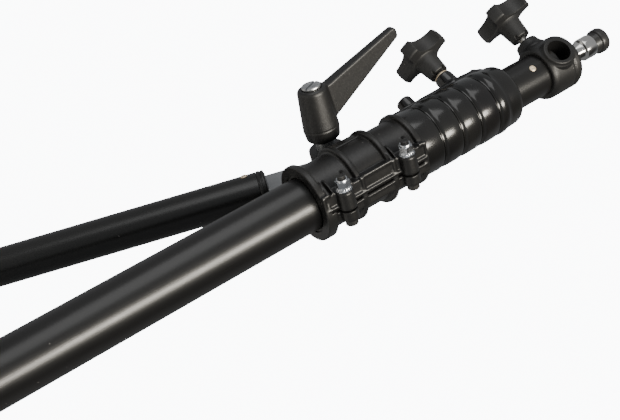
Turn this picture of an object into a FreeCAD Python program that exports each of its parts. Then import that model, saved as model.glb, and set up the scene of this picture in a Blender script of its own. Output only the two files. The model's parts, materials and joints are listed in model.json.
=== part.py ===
import FreeCAD, Part
import math
import os

# Convertible boom stand: three bent legs, a three-section column, a two-way clamp
# on top and a telescopic boom through the clamp.  Millimetres, +Z up.
#
# Boom parts are drawn in the boom's own frame: x along the boom towards its head,
# y down through the parting plane of the clamp, z towards the pivot bolt.
# Stand parts are drawn about the column's axis, with z = 0 on the floor.

Vector = FreeCAD.Vector
AXIS_X = Vector(1, 0, 0)
AXIS_Y = Vector(0, 1, 0)
AXIS_Z = Vector(0, 0, 1)

# ---- driving dimensions -------------------------------------------------------

# telescopic tubes, from the widest to the narrowest
largeTubeRadius = 17.5
middleTubeRadius = 15.0
smallTubeRadius = 12.5
tubeWall = 1.5
slideGap = 0.3
turnGap = 0.3
fixedGap = 0.1
faceGap = 0.2
pinGap = 0.08

# stand
pivotHeight = 1250.0
columnBottom = 104.0
columnLength = 640.0
middleTubeLength = 620.0
topTubeExposed = 335.0
topTubeInside = 275.0
guideLength = 24.0
guideRing = 3.0
guideWall = 0.5

# legs
legTubeRadius = 12.5
legFootRadius = 400.0
legBendRadius = 90.0
legSlope = 38.0
legHubHeight = 32.0
legHubWall = 7.0
legSocketLength = 30.0
legEndHeight = 15.0
hubWasherThickness = 3.0
footWall = 3.2
footLength = 38.0

# boom
boomFoldAngle = 23.8
boomTailLength = 770.0
boomTubeMouth = 150.0
extensionInside = 600.0
extensionExposed = 30.8

# clamp sleeve
sleeveStart = 3.0
sleeveEnd = 82.5
linerThickness = 1.5
sleeveWall = 2.2
ribHeight = 3.4
ribWidth = 3.6
ribStations = (32.0, 56.0)
partingGap = 1.2
boltStations = (18.0, 66.0)
boltOffset = 26.0
boltRadius = 2.5
boltHeadRadius = 4.0
boltBossRadius = 5.7
upperBossHeight = 12.6
lowerBossHeight = 8.0
upperLugHeight = 11.4
lowerLugHeight = 7.0
lugReach = 2.4
backLugHeight = 3.6

# pivot, tongue and lever
pivotStation = 46.0
pivotOffset = 35.0
tongueCentre = 9.0
tongueThickness = 8.0
tongueEndRadius = 11.0
tongueLength = 44.0
frictionDiscThickness = 0.8
earRadius = 12.0
upperEarTop = 8.0
lowerEarThickness = 8.0
pivotBoltRadius = 4.0
spacerRadius = 6.5
leverHubBottom = 16.0
leverHubHeight = 35.5
leverHubBaseRadius = 12.0
leverHubTopRadius = 9.8
leverReach = 70.0
leverRise = 13.0
leverTipDepth = 7.0
leverWidth = 8.0
insertRadius = 6.6
leverLift = 6.0
leverScrewDepth = 12.0
leverScrewRadius = 6.4
leverScrewHead = 2.4
leverShoulderThickness = 3.0

# lock collars, knobs and head
boomCollarLength = 84.5
boomCollarRadius = 21.3
collarRibRadius = 22.9
collarRibStations = (100.6, 116.6, 131.9, 147.9)
collarRibWidth = 10.5
collarMouthRadius = 19.4
spineAngle = 28.0
spineWidth = 15.0
spineHeightStart = 1.9
spineHeightEnd = 2.8
knobStation = 143.0
setScrewStation = 106.5
setBossTop = 32.0
knobBossRadius = 6.5
knobBossTop = 34.0
knobReach = 58.0
knobRadius = 20.0
knobLobeRadius = 6.2
knobThickness = 12.0
knobHubRadius = 8.5
knobHubLength = 15.0
studRadius = 3.0
padRadius = 5.0
padThickness = 4.0
riserCollarHeight = 46.0
riserCapHeight = 5.0
riserCollarWall = 4.5
riserKnobReach = 52.0
rivetHeadRadius = 2.3
rivetShankRadius = 1.4
extensionRivetRise = 21.0
extensionRivetAngle = 127.0
riserRivetDrop = 13.0
riserRivetAngle = 7.0

headLength = 28.0
headRadius = 19.0
headKnobAngle = 36.5
socketAngle = 126.5
socketRadius = 8.1
socketStation = 12.2
socketRimRadius = 10.6
socketRimReach = 20.5
headBossTop = 25.0
headKnobReach = 50.0
spigotRootRadius = 5.0
spigotRootLength = 7.0
spigotNeckRadius = 5.8
spigotRadius = 7.94
spigotNeckLength = 15.0
spigotHeadLength = 10.0
spigotCapNeck = 4.5
spigotCapFlange = 7.0
spigotCapRadius = 8.9

# ---- sizes that follow ----------------------------------------------------------

sleeveInner = largeTubeRadius + slideGap + linerThickness + fixedGap
sleeveOuter = sleeveInner + sleeveWall
boomCollarStart = sleeveEnd + faceGap
boomCollarEnd = boomCollarStart + boomCollarLength
headStart = boomCollarEnd + extensionExposed
extensionRivetStation = boomCollarEnd + extensionRivetRise
headEnd = headStart + headLength
columnTop = columnBottom + columnLength
riserCapTop = pivotHeight - tongueLength
topTubeTop = riserCapTop - riserCapHeight
topTubeBottom = topTubeTop - topTubeExposed - topTubeInside
middleTubeTop = topTubeTop - topTubeExposed
middleTubeBottom = middleTubeTop - middleTubeLength


# ---- helpers ----------------------------------------------------------------------

def rod(radius, length, start, direction):
    return Part.makeCylinder(radius, length, start, direction)


def tube(outer, inner, length, start, direction):
    return rod(outer, length, start, direction).cut(rod(inner, length, start, direction))


def block(xSpan, ySpan, zSpan):
    low = Vector(xSpan[0], ySpan[0], zSpan[0])
    return Part.makeBox(xSpan[1] - xSpan[0], ySpan[1] - ySpan[0], zSpan[1] - zSpan[0], low)


def fuseAll(shapes):
    result = shapes[0].multiFuse(shapes[1:])
    return result.removeSplitter()


def radial(angle):
    """Unit vector of the boom frame, angle degrees from the pivot side towards the top."""
    turn = math.radians(angle)
    return Vector(0, -math.sin(turn), math.cos(turn))


def turned(shape, station, angle):
    """Carry a shape drawn about +Z at the origin to a boom station, pointing outwards."""
    copy = shape.copy()
    copy.rotate(Vector(0, 0, 0), AXIS_X, angle)
    copy.translate(Vector(station, 0, 0))
    return copy


def roundEdges(shape, radius, chosen):
    edges = [edge for edge in shape.Edges if chosen(edge)]
    return shape.makeFillet(radius, edges) if edges else shape


def revolvedAboutBoom(points):
    """Solid of revolution about the boom's axis from (station, radius) points."""
    corners = [Vector(x, 0, r) for x, r in points]
    outline = Part.makePolygon(corners + corners[:1])
    return Part.Face(outline).revolve(Vector(0, 0, 0), AXIS_X, 360)


def lobedKnob():
    """Four-lobed star knob about +Z, stud side at z = 0 and crown upwards."""
    lobeCentre = knobRadius - knobLobeRadius
    arms = []
    for turn in (0.0, 90.0):
        arm = block((-lobeCentre, lobeCentre), (-knobLobeRadius, knobLobeRadius),
                    (0, knobThickness))
        for side in (-lobeCentre, lobeCentre):
            arm = arm.fuse(rod(knobLobeRadius, knobThickness, Vector(side, 0, 0), AXIS_Z))
        arm.rotate(Vector(0, 0, 0), AXIS_Z, turn)
        arms.append(arm)
    core = rod(knobLobeRadius * 1.75, knobThickness, Vector(0, 0, 0), AXIS_Z)
    crown = fuseAll(arms + [core])
    top = knobThickness
    crown = roundEdges(crown, 1.4, lambda edge: abs(edge.BoundBox.ZMin - top) < 1e-4)
    crown.translate(Vector(0, 0, knobHubLength))
    hub = Part.makeCone(knobHubRadius * 0.82, knobHubRadius, knobHubLength)
    knob = crown.fuse(hub).removeSplitter()
    studHole = rod(studRadius + fixedGap, knobHubLength, Vector(0, 0, 0), AXIS_Z)
    return knob.cut(studHole)


def knobSet(rubRadius, reach):
    """Knob, stud and brake pad about +Z; reach is from the tube's axis to the knob's middle."""
    knobBase = reach - knobHubLength - knobThickness / 2
    knob = lobedKnob()
    knob.translate(Vector(0, 0, knobBase))
    padStart = rubRadius + turnGap
    pad = rod(padRadius, padThickness, Vector(0, 0, padStart), AXIS_Z)
    hollow = rod(rubRadius + turnGap, 4 * padRadius, Vector(-2 * padRadius, 0, 0), AXIS_X)
    pad = pad.cut(hollow)
    studStart = padStart + padThickness + fixedGap
    studEnd = knobBase + knobHubLength - fixedGap
    stud = rod(studRadius, studEnd - studStart, Vector(0, 0, studStart), AXIS_Z)
    return knob, stud, pad


def knobBore(station, angle, reach, fromRadius):
    """Cutter for the stud's threaded hole and the brake pad's pocket."""
    pocketEnd = fromRadius + turnGap + padThickness + fixedGap
    pocket = rod(padRadius + fixedGap, pocketEnd, Vector(0, 0, 0), AXIS_Z)
    hole = rod(studRadius + pinGap, reach, Vector(0, 0, 0), AXIS_Z)
    return turned(pocket.fuse(hole), station, angle)


# ---- boom -------------------------------------------------------------------------

def makeBoomTube():
    start = Vector(-boomTailLength, 0, 0)
    length = boomTailLength + boomTubeMouth
    body = tube(largeTubeRadius, largeTubeRadius - tubeWall, length, start, AXIS_X)
    return body.cut(knobBore(knobStation, spineAngle, knobBossTop, middleTubeRadius))


def makeBoomTailCap():
    capThickness = 4.0
    plugLength = 14.0
    end = -boomTailLength
    flange = rod(largeTubeRadius, capThickness, Vector(end - capThickness, 0, 0), AXIS_X)
    flange = roundEdges(flange, 1.5, lambda edge: edge.BoundBox.XMax < end - capThickness + 0.1)
    plug = rod(largeTubeRadius - tubeWall - fixedGap, plugLength, Vector(end, 0, 0), AXIS_X)
    return flange.fuse(plug).removeSplitter()


def makeBoomCollar():
    rib = (collarRibWidth - 3.0) / 2
    outline = [(boomCollarStart, 0), (boomCollarStart, boomCollarRadius)]
    for station in collarRibStations:
        outline.append((station - rib - 1.5, boomCollarRadius + 0.3))
        outline.append((station - rib, collarRibRadius))
        outline.append((station + rib, collarRibRadius))
        outline.append((station + rib + 1.5, boomCollarRadius + 0.3))
    outline.append((boomCollarEnd - 11.0, boomCollarRadius + 0.2))
    outline.append((boomCollarEnd, collarMouthRadius))
    outline.append((boomCollarEnd, 0))
    body = revolvedAboutBoom(outline)

    # the spine along the back rises towards the mouth
    half = spineWidth / 2
    low = boomCollarRadius + spineHeightStart
    high = boomCollarRadius + spineHeightEnd
    side = [Vector(boomCollarStart + 2, -half, 10), Vector(boomCollarStart + 2, -half, low),
            Vector(boomCollarEnd - 14, -half, high), Vector(boomCollarEnd - 6, -half, high - 1.5),
            Vector(boomCollarEnd - 4, -half, 10)]
    spine = Part.Face(Part.makePolygon(side + side[:1])).extrude(Vector(0, spineWidth, 0))
    knobBoss = rod(knobBossRadius, knobBossTop - 10, Vector(knobStation, 0, 10), AXIS_Z)
    setBoss = rod(5.5, setBossTop - 10, Vector(setScrewStation, 0, 10), AXIS_Z)
    lug = fuseAll([spine, knobBoss, setBoss])
    lug.rotate(Vector(0, 0, 0), AXIS_X, spineAngle)
    body = body.fuse(lug).removeSplitter()

    tubeSeat = boomTubeMouth + fixedGap
    tubeBore = rod(largeTubeRadius + fixedGap, tubeSeat - boomCollarStart,
                   Vector(boomCollarStart, 0, 0), AXIS_X)
    bushBore = rod(largeTubeRadius, boomCollarEnd, Vector(tubeSeat, 0, 0), AXIS_X)
    screwHole = rod(2.5 + fixedGap, 2 * setBossTop, Vector(0, 0, 15), AXIS_Z)
    body = body.cut(tubeBore).cut(bushBore)
    body = body.cut(turned(screwHole, setScrewStation, spineAngle))
    return body.cut(knobBore(knobStation, spineAngle, knobBossTop + 5, middleTubeRadius))


def makeBoomCollarBush():
    start = boomTubeMouth + 2 * fixedGap
    length = boomCollarEnd - start
    return tube(largeTubeRadius - fixedGap, middleTubeRadius + slideGap, length,
                Vector(start, 0, 0), AXIS_X)


def makeSetScrew():
    start = largeTubeRadius + fixedGap
    end = setBossTop - 1.5
    screw = rod(2.5, end - start, Vector(0, 0, start), AXIS_Z)
    key = rod(1.3, 3.0, Vector(0, 0, end - 2.5), AXIS_Z)
    return turned(screw.cut(key), setScrewStation, spineAngle)


def makeExtensionTube():
    start = boomCollarEnd - extensionInside
    length = headStart + headLength * 0.45 - start
    return tube(middleTubeRadius, middleTubeRadius - tubeWall, length, Vector(start, 0, 0), AXIS_X)


def makeExtensionGuide():
    """Nylon ring on the extension's inner end, running in the boom tube."""
    start = boomCollarEnd - extensionInside
    ringStart = start - guideRing - fixedGap
    bore = middleTubeRadius - tubeWall - fixedGap - guideWall
    ring = tube(largeTubeRadius - tubeWall - slideGap, bore, guideRing,
                Vector(ringStart, 0, 0), AXIS_X)
    plug = tube(middleTubeRadius - tubeWall - fixedGap, bore, guideRing + guideLength,
                Vector(ringStart, 0, 0), AXIS_X)
    return ring.fuse(plug).removeSplitter()


def rivet(tubeRadius):
    """Blind rivet drawn about +Z through the wall of a tube that lies along x."""
    head = Part.makeCone(rivetHeadRadius, rivetHeadRadius * 0.6, 0.8)
    head.translate(Vector(0, 0, tubeRadius + 0.05))
    shank = rod(rivetShankRadius, tubeWall + 0.8, Vector(0, 0, tubeRadius - tubeWall - 0.5), AXIS_Z)
    return head.fuse(shank).removeSplitter()


def rivetHole(tubeRadius):
    return rod(rivetShankRadius + fixedGap, tubeRadius + 5, Vector(0, 0, 0), AXIS_Z)


def makeHead():
    outline = [(headStart, 0), (headStart, headRadius - 1.5), (headStart + 1.5, headRadius),
               (headEnd - 3, headRadius), (headEnd, headRadius - 3), (headEnd, 0)]
    body = revolvedAboutBoom(outline)
    centre = headStart + socketStation
    rim = turned(rod(socketRimRadius, socketRimReach, Vector(0, 0, 0), AXIS_Z),
                 centre, socketAngle)
    farRim = turned(rod(socketRimRadius, socketRimReach, Vector(0, 0, 0), AXIS_Z),
                    centre, socketAngle + 180)
    boss = turned(Part.makeCone(11.0, 8.0, headBossTop), centre, headKnobAngle)
    body = fuseAll([body, rim, farRim, boss])
    socket = turned(rod(socketRadius, 60, Vector(0, 0, -30), AXIS_Z), centre, socketAngle)
    seatDepth = headLength * 0.45 + fixedGap
    seat = tube(middleTubeRadius + fixedGap, middleTubeRadius - tubeWall - fixedGap, seatDepth,
                Vector(headStart, 0, 0), AXIS_X)
    knobHole = turned(rod(studRadius + pinGap, 40, Vector(0, 0, 0), AXIS_Z),
                      centre, headKnobAngle)
    spigotHole = rod(spigotRootRadius + fixedGap, spigotRootLength,
                     Vector(headEnd - spigotRootLength, 0, 0), AXIS_X)
    return body.cut(socket).cut(seat).cut(knobHole).cut(spigotHole)


def makeHeadTube():
    """Extension tube with the head socket's hole and the rivet hole through its wall."""
    body = makeExtensionTube()
    centre = headStart + socketStation
    socket = turned(rod(socketRadius, 60, Vector(0, 0, -30), AXIS_Z), centre, socketAngle)
    knobHole = turned(rod(studRadius + pinGap, 40, Vector(0, 0, 0), AXIS_Z),
                      centre, headKnobAngle)
    body = body.cut(turned(rivetHole(middleTubeRadius), extensionRivetStation,
                           extensionRivetAngle))
    return body.cut(socket).cut(knobHole)


def makeSpigot():
    neckEnd = headEnd + spigotNeckLength
    headFace = neckEnd + spigotHeadLength
    root = rod(spigotRootRadius, spigotRootLength - fixedGap,
               Vector(headEnd - spigotRootLength + fixedGap, 0, 0), AXIS_X)
    neck = rod(spigotNeckRadius, spigotNeckLength, Vector(headEnd, 0, 0), AXIS_X)
    head = rod(spigotRadius, spigotHeadLength, Vector(neckEnd, 0, 0), AXIS_X)
    head = roundEdges(head, 0.8, lambda edge: edge.BoundBox.XLength < 1e-6)
    nose = rod(4.0, spigotCapNeck, Vector(headFace, 0, 0), AXIS_X)
    return fuseAll([root, neck, head, nose])


def makeSpigotCap():
    start = headEnd + spigotNeckLength + spigotHeadLength
    neck = rod(7.4, spigotCapNeck, Vector(start, 0, 0), AXIS_X)
    flange = rod(spigotCapRadius, spigotCapFlange, Vector(start + spigotCapNeck, 0, 0), AXIS_X)
    flange = roundEdges(flange, 1.6, lambda edge: edge.BoundBox.XLength < 1e-6)
    hole = rod(4.0 + fixedGap, spigotCapNeck + fixedGap, Vector(start, 0, 0), AXIS_X)
    return neck.fuse(flange).removeSplitter().cut(hole)


# ---- clamp ------------------------------------------------------------------------

def sleeveShell():
    """Sleeve with its ribs, before it is split along the parting plane."""
    half = ribWidth / 2
    top = sleeveOuter + ribHeight
    outline = [(sleeveStart, 0), (sleeveStart, top + 0.3), (sleeveStart + ribWidth, top + 0.3),
               (sleeveStart + ribWidth + 1, sleeveOuter)]
    for station in ribStations:
        outline.append((station - half - 0.6, sleeveOuter))
        outline.append((station - half, top))
        outline.append((station + half, top))
        outline.append((station + half + 0.6, sleeveOuter))
    outline.append((sleeveEnd - ribWidth - 1, sleeveOuter))
    outline.append((sleeveEnd - ribWidth, top - 0.4))
    outline.append((sleeveEnd, top - 0.4))
    outline.append((sleeveEnd, 0))
    return revolvedAboutBoom(outline)


def boltPlaces():
    return [Vector(station, 0, -boltOffset) for station in boltStations]


def makeClampHalf(upper):
    """One half of the split sleeve; the upper half lies at y < 0."""
    side = -1.0 if upper else 1.0
    split = partingGap / 2
    body = sleeveShell()
    bossHeight = upperBossHeight if upper else lowerBossHeight
    lugFar = side * (split + (upperLugHeight if upper else lowerLugHeight))
    backFar = side * (split + backLugHeight)
    lugSpan = (min(side * split, lugFar), max(side * split, lugFar))
    backSpan = (min(side * split, backFar), max(side * split, backFar))
    lugInner = sleeveInner - 3.0
    front = block((sleeveStart, sleeveEnd), lugSpan, (-sleeveOuter - lugReach, -lugInner))
    back = block((sleeveStart, pivotStation - earRadius - 2), backSpan,
                 (lugInner, sleeveOuter + 2.0))
    pieces = [body, front, back]
    for place in boltPlaces():
        low = Vector(place.x, 0, place.z)
        pieces.append(rod(boltBossRadius, bossHeight, low, Vector(0, side, 0)))
    body = fuseAll(pieces)
    far = 60.0
    keep = block((-far, 2 * far), (-far, -split) if upper else (split, far), (-far, far))
    body = body.common(keep)

    # the ear that takes the pivot bolt, on its own side of the tongue
    tongueHalf = tongueThickness / 2 + frictionDiscThickness + faceGap
    if upper:
        earSpan = (-upperEarTop, tongueCentre - tongueHalf)
    else:
        earSpan = (tongueCentre + tongueHalf, tongueCentre + tongueHalf + lowerEarThickness)
    low, high = earSpan
    ear = rod(earRadius, high - low, Vector(pivotStation, low, pivotOffset), AXIS_Y)
    inward = sleeveInner - 1.0 if upper else 0.4 * sleeveInner
    web = block((pivotStation - earRadius, pivotStation + earRadius), earSpan,
                (inward, pivotOffset))
    ear = ear.fuse(web).removeSplitter()
    if upper:
        # below the parting plane the ear stands clear of the lower half's wall
        clear = rod(sleeveOuter + ribHeight + 0.5, 2 * far, Vector(-far, 0, 0), AXIS_X)
        lowerSide = block((-far, 2 * far), (-split, far), (-far, far))
        ear = ear.cut(clear.common(lowerSide))
    body = body.fuse(ear).removeSplitter()

    # ribs stop where the tongue swings past
    reach = (tongueCentre - tongueHalf, tongueCentre + tongueHalf)
    swing = block((sleeveStart - 1, sleeveEnd + 1), reach, (sleeveOuter - 0.8, far))
    body = body.cut(swing)
    body = body.cut(rod(sleeveInner, 2 * far, Vector(-far / 2, 0, 0), AXIS_X))
    body = body.cut(rod(pivotBoltRadius + pinGap, 2 * far,
                        Vector(pivotStation, -far, pivotOffset), AXIS_Y))
    for place in boltPlaces():
        start = Vector(place.x, -far, place.z)
        body = body.cut(rod(boltRadius + fixedGap, 2 * far, start, AXIS_Y))
    return body


def makeClampLiner():
    body = tube(sleeveInner - fixedGap, largeTubeRadius + slideGap, sleeveEnd - sleeveStart - 2,
                Vector(sleeveStart + 1, 0, 0), AXIS_X)
    slot = block((0, 100), (-0.8, 0.8), (-40, 0))
    return body.cut(slot)


def makeClampBolts():
    bolts = []
    for place in boltPlaces():
        headBase = lowerBossHeight + fixedGap
        head = rod(boltHeadRadius, 3.6, Vector(place.x, headBase, place.z), AXIS_Y)
        key = rod(0.5 * boltHeadRadius, 2.2, Vector(place.x, headBase + 1.4, place.z), AXIS_Y)
        top = upperBossHeight + 9.9
        shank = rod(boltRadius, headBase + top, Vector(place.x, -top, place.z), AXIS_Y)
        bolts.append(head.fuse(shank).removeSplitter().cut(key))
    return Part.makeCompound(bolts)


def hexagon(acrossFlats, height, base, direction, turn=0.0):
    corner = acrossFlats / math.sqrt(3.0)
    points = []
    for index in range(6):
        angle = math.radians(60 * index)
        points.append(Vector(corner * math.cos(angle), corner * math.sin(angle), 0))
    prism = Part.Face(Part.makePolygon(points + points[:1])).extrude(Vector(0, 0, height))
    prism.rotate(Vector(0, 0, 0), AXIS_Z, turn)
    rotation = FreeCAD.Rotation(AXIS_Z, direction)
    prism.Placement = FreeCAD.Placement(base, rotation).multiply(prism.Placement)
    return prism


def makeClampNuts():
    """Flanged lock nuts on the upper bosses."""
    nuts = []
    for place in boltPlaces():
        base = Vector(place.x, -upperBossHeight - 1.4, place.z)
        nut = hexagon(8.0, 6.2, base, Vector(0, -1, 0), 15.0)
        bore = rod(boltRadius + 0.04, 40, Vector(place.x, 0, place.z), Vector(0, -1, 0))
        nuts.append(nut.cut(bore))
    return Part.makeCompound(nuts)


def makeClampWashers():
    washers = []
    for place in boltPlaces():
        start = Vector(place.x, -upperBossHeight - 1.3, place.z)
        washers.append(tube(5.0, boltRadius + fixedGap, 1.2, start, AXIS_Y))
    return Part.makeCompound(washers)


def makeFrictionDiscs():
    """Thin discs on each side of the tongue, carried by the clamp's ears."""
    discs = []
    near = tongueThickness / 2 + faceGap / 2
    for low in (tongueCentre - near - frictionDiscThickness, tongueCentre + near):
        start = Vector(pivotStation, low, pivotOffset)
        discs.append(tube(tongueEndRadius - 1, pivotBoltRadius + fixedGap,
                          frictionDiscThickness, start, AXIS_Y))
    return Part.makeCompound(discs)


def makePivotBolt():
    earBottom = tongueCentre + tongueThickness / 2 + frictionDiscThickness + faceGap
    headBase = earBottom + lowerEarThickness + fixedGap
    top = leverShoulder()[0] - 3.0
    shank = rod(pivotBoltRadius, headBase + top, Vector(pivotStation, -top, pivotOffset), AXIS_Y)
    head = hexagon(13.0, 5.3, Vector(pivotStation, headBase, pivotOffset), AXIS_Y)
    return shank.fuse(head).removeSplitter()


def makeLeverSpacer():
    length = leverHubBottom - upperEarTop - faceGap
    start = Vector(pivotStation, -leverHubBottom + faceGap / 2, pivotOffset)
    return tube(spacerRadius, pivotBoltRadius + pinGap, length, start, AXIS_Y)


def leverShoulder():
    """Distances above the boom's axis of the shoulder inside the lever's hub."""
    hubTop = leverHubBottom + leverHubHeight
    top = hubTop - leverScrewDepth
    return top - leverShoulderThickness, top


def makeLeverInsert():
    """Toothed steel insert inside the lever's hub."""
    shoulderBottom, shoulderTop = leverShoulder()
    length = shoulderBottom - leverHubBottom - 2 * fixedGap
    start = Vector(pivotStation, -leverHubBottom - fixedGap, pivotOffset)
    up = Vector(0, -1, 0)
    core = rod(insertRadius - 0.9, length, start, up)
    teeth = []
    for index in range(12):
        tooth = block((-0.9, 0.9), (0, length), (0, insertRadius))
        tooth.rotate(Vector(0, 0, 0), AXIS_Y, 30 * index)
        tooth.translate(Vector(pivotStation, start.y - length, pivotOffset))
        teeth.append(tooth)
    body = fuseAll([core] + teeth)
    return body.cut(rod(pivotBoltRadius + fixedGap, length - 2.0, start, up))


def makeLeverScrew():
    """Screw that holds the lever down on its insert through the spring."""
    shoulderBottom, shoulderTop = leverShoulder()
    hubTop = leverHubBottom + leverHubHeight
    up = Vector(0, -1, 0)
    head = rod(leverScrewRadius, leverScrewHead, Vector(pivotStation, -hubTop + 0.6, pivotOffset), up)
    headTop = -hubTop + 0.6 - leverScrewHead
    head = roundEdges(head, 0.6, lambda edge: edge.BoundBox.YMax < headTop + 0.01)
    shank = rod(2.5, hubTop - shoulderBottom, Vector(pivotStation, -shoulderBottom, pivotOffset), up)
    slot = block((-8, 8), (-1, 0), (-0.8, 0.8))
    slot.translate(Vector(pivotStation, headTop + 1.0, pivotOffset))
    return shank.fuse(head).removeSplitter().cut(slot)


def makeLeverSpring():
    """Spring under the screw's head, drawn at the length it has with the lever lifted."""
    length = leverScrewDepth - 0.6 - leverLift - 2 * turnGap
    hubTop = leverHubBottom + leverHubHeight
    start = Vector(pivotStation, -hubTop + 0.6 + fixedGap, pivotOffset)
    return tube(leverScrewRadius - 0.6, 2.5 + turnGap, length, start, AXIS_Y)


def makeLeverHandle():
    up = Vector(0, -1, 0)
    base = Vector(pivotStation, -leverHubBottom, pivotOffset)
    hub = Part.makeCone(leverHubBaseRadius, leverHubTopRadius, leverHubHeight, base, up)
    hubTop = leverHubBottom + leverHubHeight
    half = leverWidth / 2
    x = pivotStation
    tip = x + leverReach
    side = [(x, -leverHubBottom - 9), (x + 11, -leverHubBottom - 11),
            (tip, -hubTop - leverRise + leverTipDepth), (tip - 3, -hubTop - leverRise),
            (x + 9, -hubTop + 3), (x, -hubTop + 3)]
    corners = [Vector(px, py, pivotOffset - half) for px, py in side]
    arm = Part.Face(Part.makePolygon(corners + corners[:1])).extrude(Vector(0, 0, 2 * half))
    arm = roundEdges(arm, 1.2, lambda edge: edge.Length > 0.6 * leverReach)
    body = hub.fuse(arm).removeSplitter()
    shoulderBottom, shoulderTop = leverShoulder()
    seat = rod(insertRadius + fixedGap, shoulderBottom - leverHubBottom, base, up)
    springRoom = rod(leverScrewRadius + fixedGap, 2 * leverHubHeight,
                     Vector(pivotStation, -shoulderTop, pivotOffset), up)
    screwHole = rod(2.5 + fixedGap, leverHubHeight, base, up)
    return body.cut(seat).cut(springRoom).cut(screwHole)


# ---- riser ------------------------------------------------------------------------

def makeTongue():
    """Flat tongue of the clamp's clevis on a round plug; drawn about the column's axis."""
    half = tongueThickness / 2
    plate = block((-tongueEndRadius, tongueEndRadius), (-half, half),
                  (riserCapTop + faceGap, pivotHeight))
    eye = rod(tongueEndRadius, tongueThickness, Vector(0, -half, pivotHeight), AXIS_Y)
    plugRadius = smallTubeRadius - tubeWall - fixedGap
    collar = rod(smallTubeRadius - 1.6, riserCapHeight + 0.6, Vector(0, 0, topTubeTop), AXIS_Z)
    plug = rod(plugRadius, 34, Vector(0, 0, topTubeTop - 34), AXIS_Z)
    body = fuseAll([plate, eye, collar, plug]).cut(riserRivetPlace(rivetHole(plugRadius)))
    bolt = rod(pivotBoltRadius + pinGap, 40, Vector(0, -20, pivotHeight), AXIS_Y)
    return body.cut(bolt)


def makeRiserCap():
    outer = smallTubeRadius + 0.3
    ring = tube(outer, smallTubeRadius - 1.6 + fixedGap, riserCapHeight,
                Vector(0, 0, topTubeTop + fixedGap), AXIS_Z)
    top = topTubeTop + fixedGap + riserCapHeight
    return roundEdges(ring, 0.8, lambda edge: edge.BoundBox.ZMin > top - 0.01
                      and edge.BoundBox.XLength > 2 * smallTubeRadius)


def makeTopTube():
    length = topTubeTop - topTubeBottom
    body = tube(smallTubeRadius, smallTubeRadius - tubeWall, length,
                Vector(0, 0, topTubeBottom), AXIS_Z)
    return body.cut(riserRivetPlace(rivetHole(smallTubeRadius)))


def riserRivetPlace(shape):
    copy = shape.copy()
    copy.rotate(Vector(0, 0, 0), AXIS_X, 90)
    copy.rotate(Vector(0, 0, 0), AXIS_Z, -riserRivetAngle)
    copy.translate(Vector(0, 0, riserCapTop - riserRivetDrop))
    return copy


def makeMiddleTube():
    return tube(middleTubeRadius, middleTubeRadius - tubeWall, middleTubeLength,
                Vector(0, 0, middleTubeBottom), AXIS_Z)


def makeColumnTube():
    return tube(largeTubeRadius, largeTubeRadius - tubeWall, columnLength,
                Vector(0, 0, columnBottom), AXIS_Z)


def makeGuideBush(outerTube, innerTube, tubeEnd, endGap):
    """Nylon ring on a tube's lower end, running in the tube around it."""
    bore = innerTube - tubeWall - endGap - guideWall
    bottom = tubeEnd - guideRing - endGap
    ring = tube(outerTube - tubeWall - slideGap, bore, guideRing, Vector(0, 0, bottom), AXIS_Z)
    plug = tube(innerTube - tubeWall - endGap, bore, guideRing + guideLength,
                Vector(0, 0, bottom), AXIS_Z)
    return ring.fuse(plug).removeSplitter()


def riserKnobPlace(shape, height):
    """Point a knob part drawn about +Z away from the boom, at a height on the column."""
    copy = shape.copy()
    copy.rotate(Vector(0, 0, 0), AXIS_Y, -90)
    copy.translate(Vector(0, 0, height))
    return copy


def makeRiserCollar(outerTube, innerTube, tubeTop):
    """Cast lock collar on a tube's top, closing in on the tube that slides out of it."""
    seat = riserCollarHeight * 0.55
    bottom = tubeTop - seat
    outer = outerTube + riserCollarWall
    body = rod(outer, riserCollarHeight, Vector(0, 0, bottom), AXIS_Z)
    body = roundEdges(body, 1.8, lambda edge: edge.BoundBox.ZLength < 1e-6)
    knobHeight = tubeTop + riserCollarHeight * 0.2
    boss = riserKnobPlace(rod(8.0, outer + 7.0, Vector(0, 0, 0), AXIS_Z), knobHeight)
    body = body.fuse(boss).removeSplitter()
    body = body.cut(rod(outerTube + fixedGap, seat + fixedGap, Vector(0, 0, bottom), AXIS_Z))
    body = body.cut(rod(innerTube + slideGap, 2 * riserCollarHeight, Vector(0, 0, bottom), AXIS_Z))
    pocketEnd = innerTube + turnGap + padThickness + fixedGap
    pocket = rod(padRadius + fixedGap, pocketEnd, Vector(0, 0, 0), AXIS_Z)
    hole = rod(studRadius + pinGap, 60, Vector(0, 0, 0), AXIS_Z)
    return body.cut(riserKnobPlace(pocket.fuse(hole), knobHeight))


# ---- legs -------------------------------------------------------------------------

def legHubMiddle(level):
    pitch = legHubHeight + hubWasherThickness + 2 * faceGap
    return columnBottom + 6.0 + legHubHeight / 2 + faceGap + level * pitch


def legPath(level):
    """Centre line of a leg in the xz plane: level out, one bend, straight to the foot."""
    slope = math.radians(legSlope)
    high = legHubMiddle(level)
    drop = legBendRadius * (1 - math.cos(slope))
    straightDrop = high - drop - legEndHeight
    straightRun = straightDrop / math.tan(slope)
    bendStart = legFootRadius - straightRun - legBendRadius * math.sin(slope)
    start = Vector(largeTubeRadius + legHubWall + faceGap, 0, high)
    corner = Vector(bendStart, 0, high)
    half = slope / 2
    middle = Vector(bendStart + legBendRadius * math.sin(half), 0,
                    high - legBendRadius * (1 - math.cos(half)))
    bendEnd = Vector(bendStart + legBendRadius * math.sin(slope), 0, high - drop)
    end = Vector(legFootRadius, 0, legEndHeight)
    edges = [Part.LineSegment(start, corner).toShape(),
             Part.Arc(corner, middle, bendEnd).toShape(),
             Part.LineSegment(bendEnd, end).toShape()]
    return Part.Wire(edges), start, end


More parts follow.
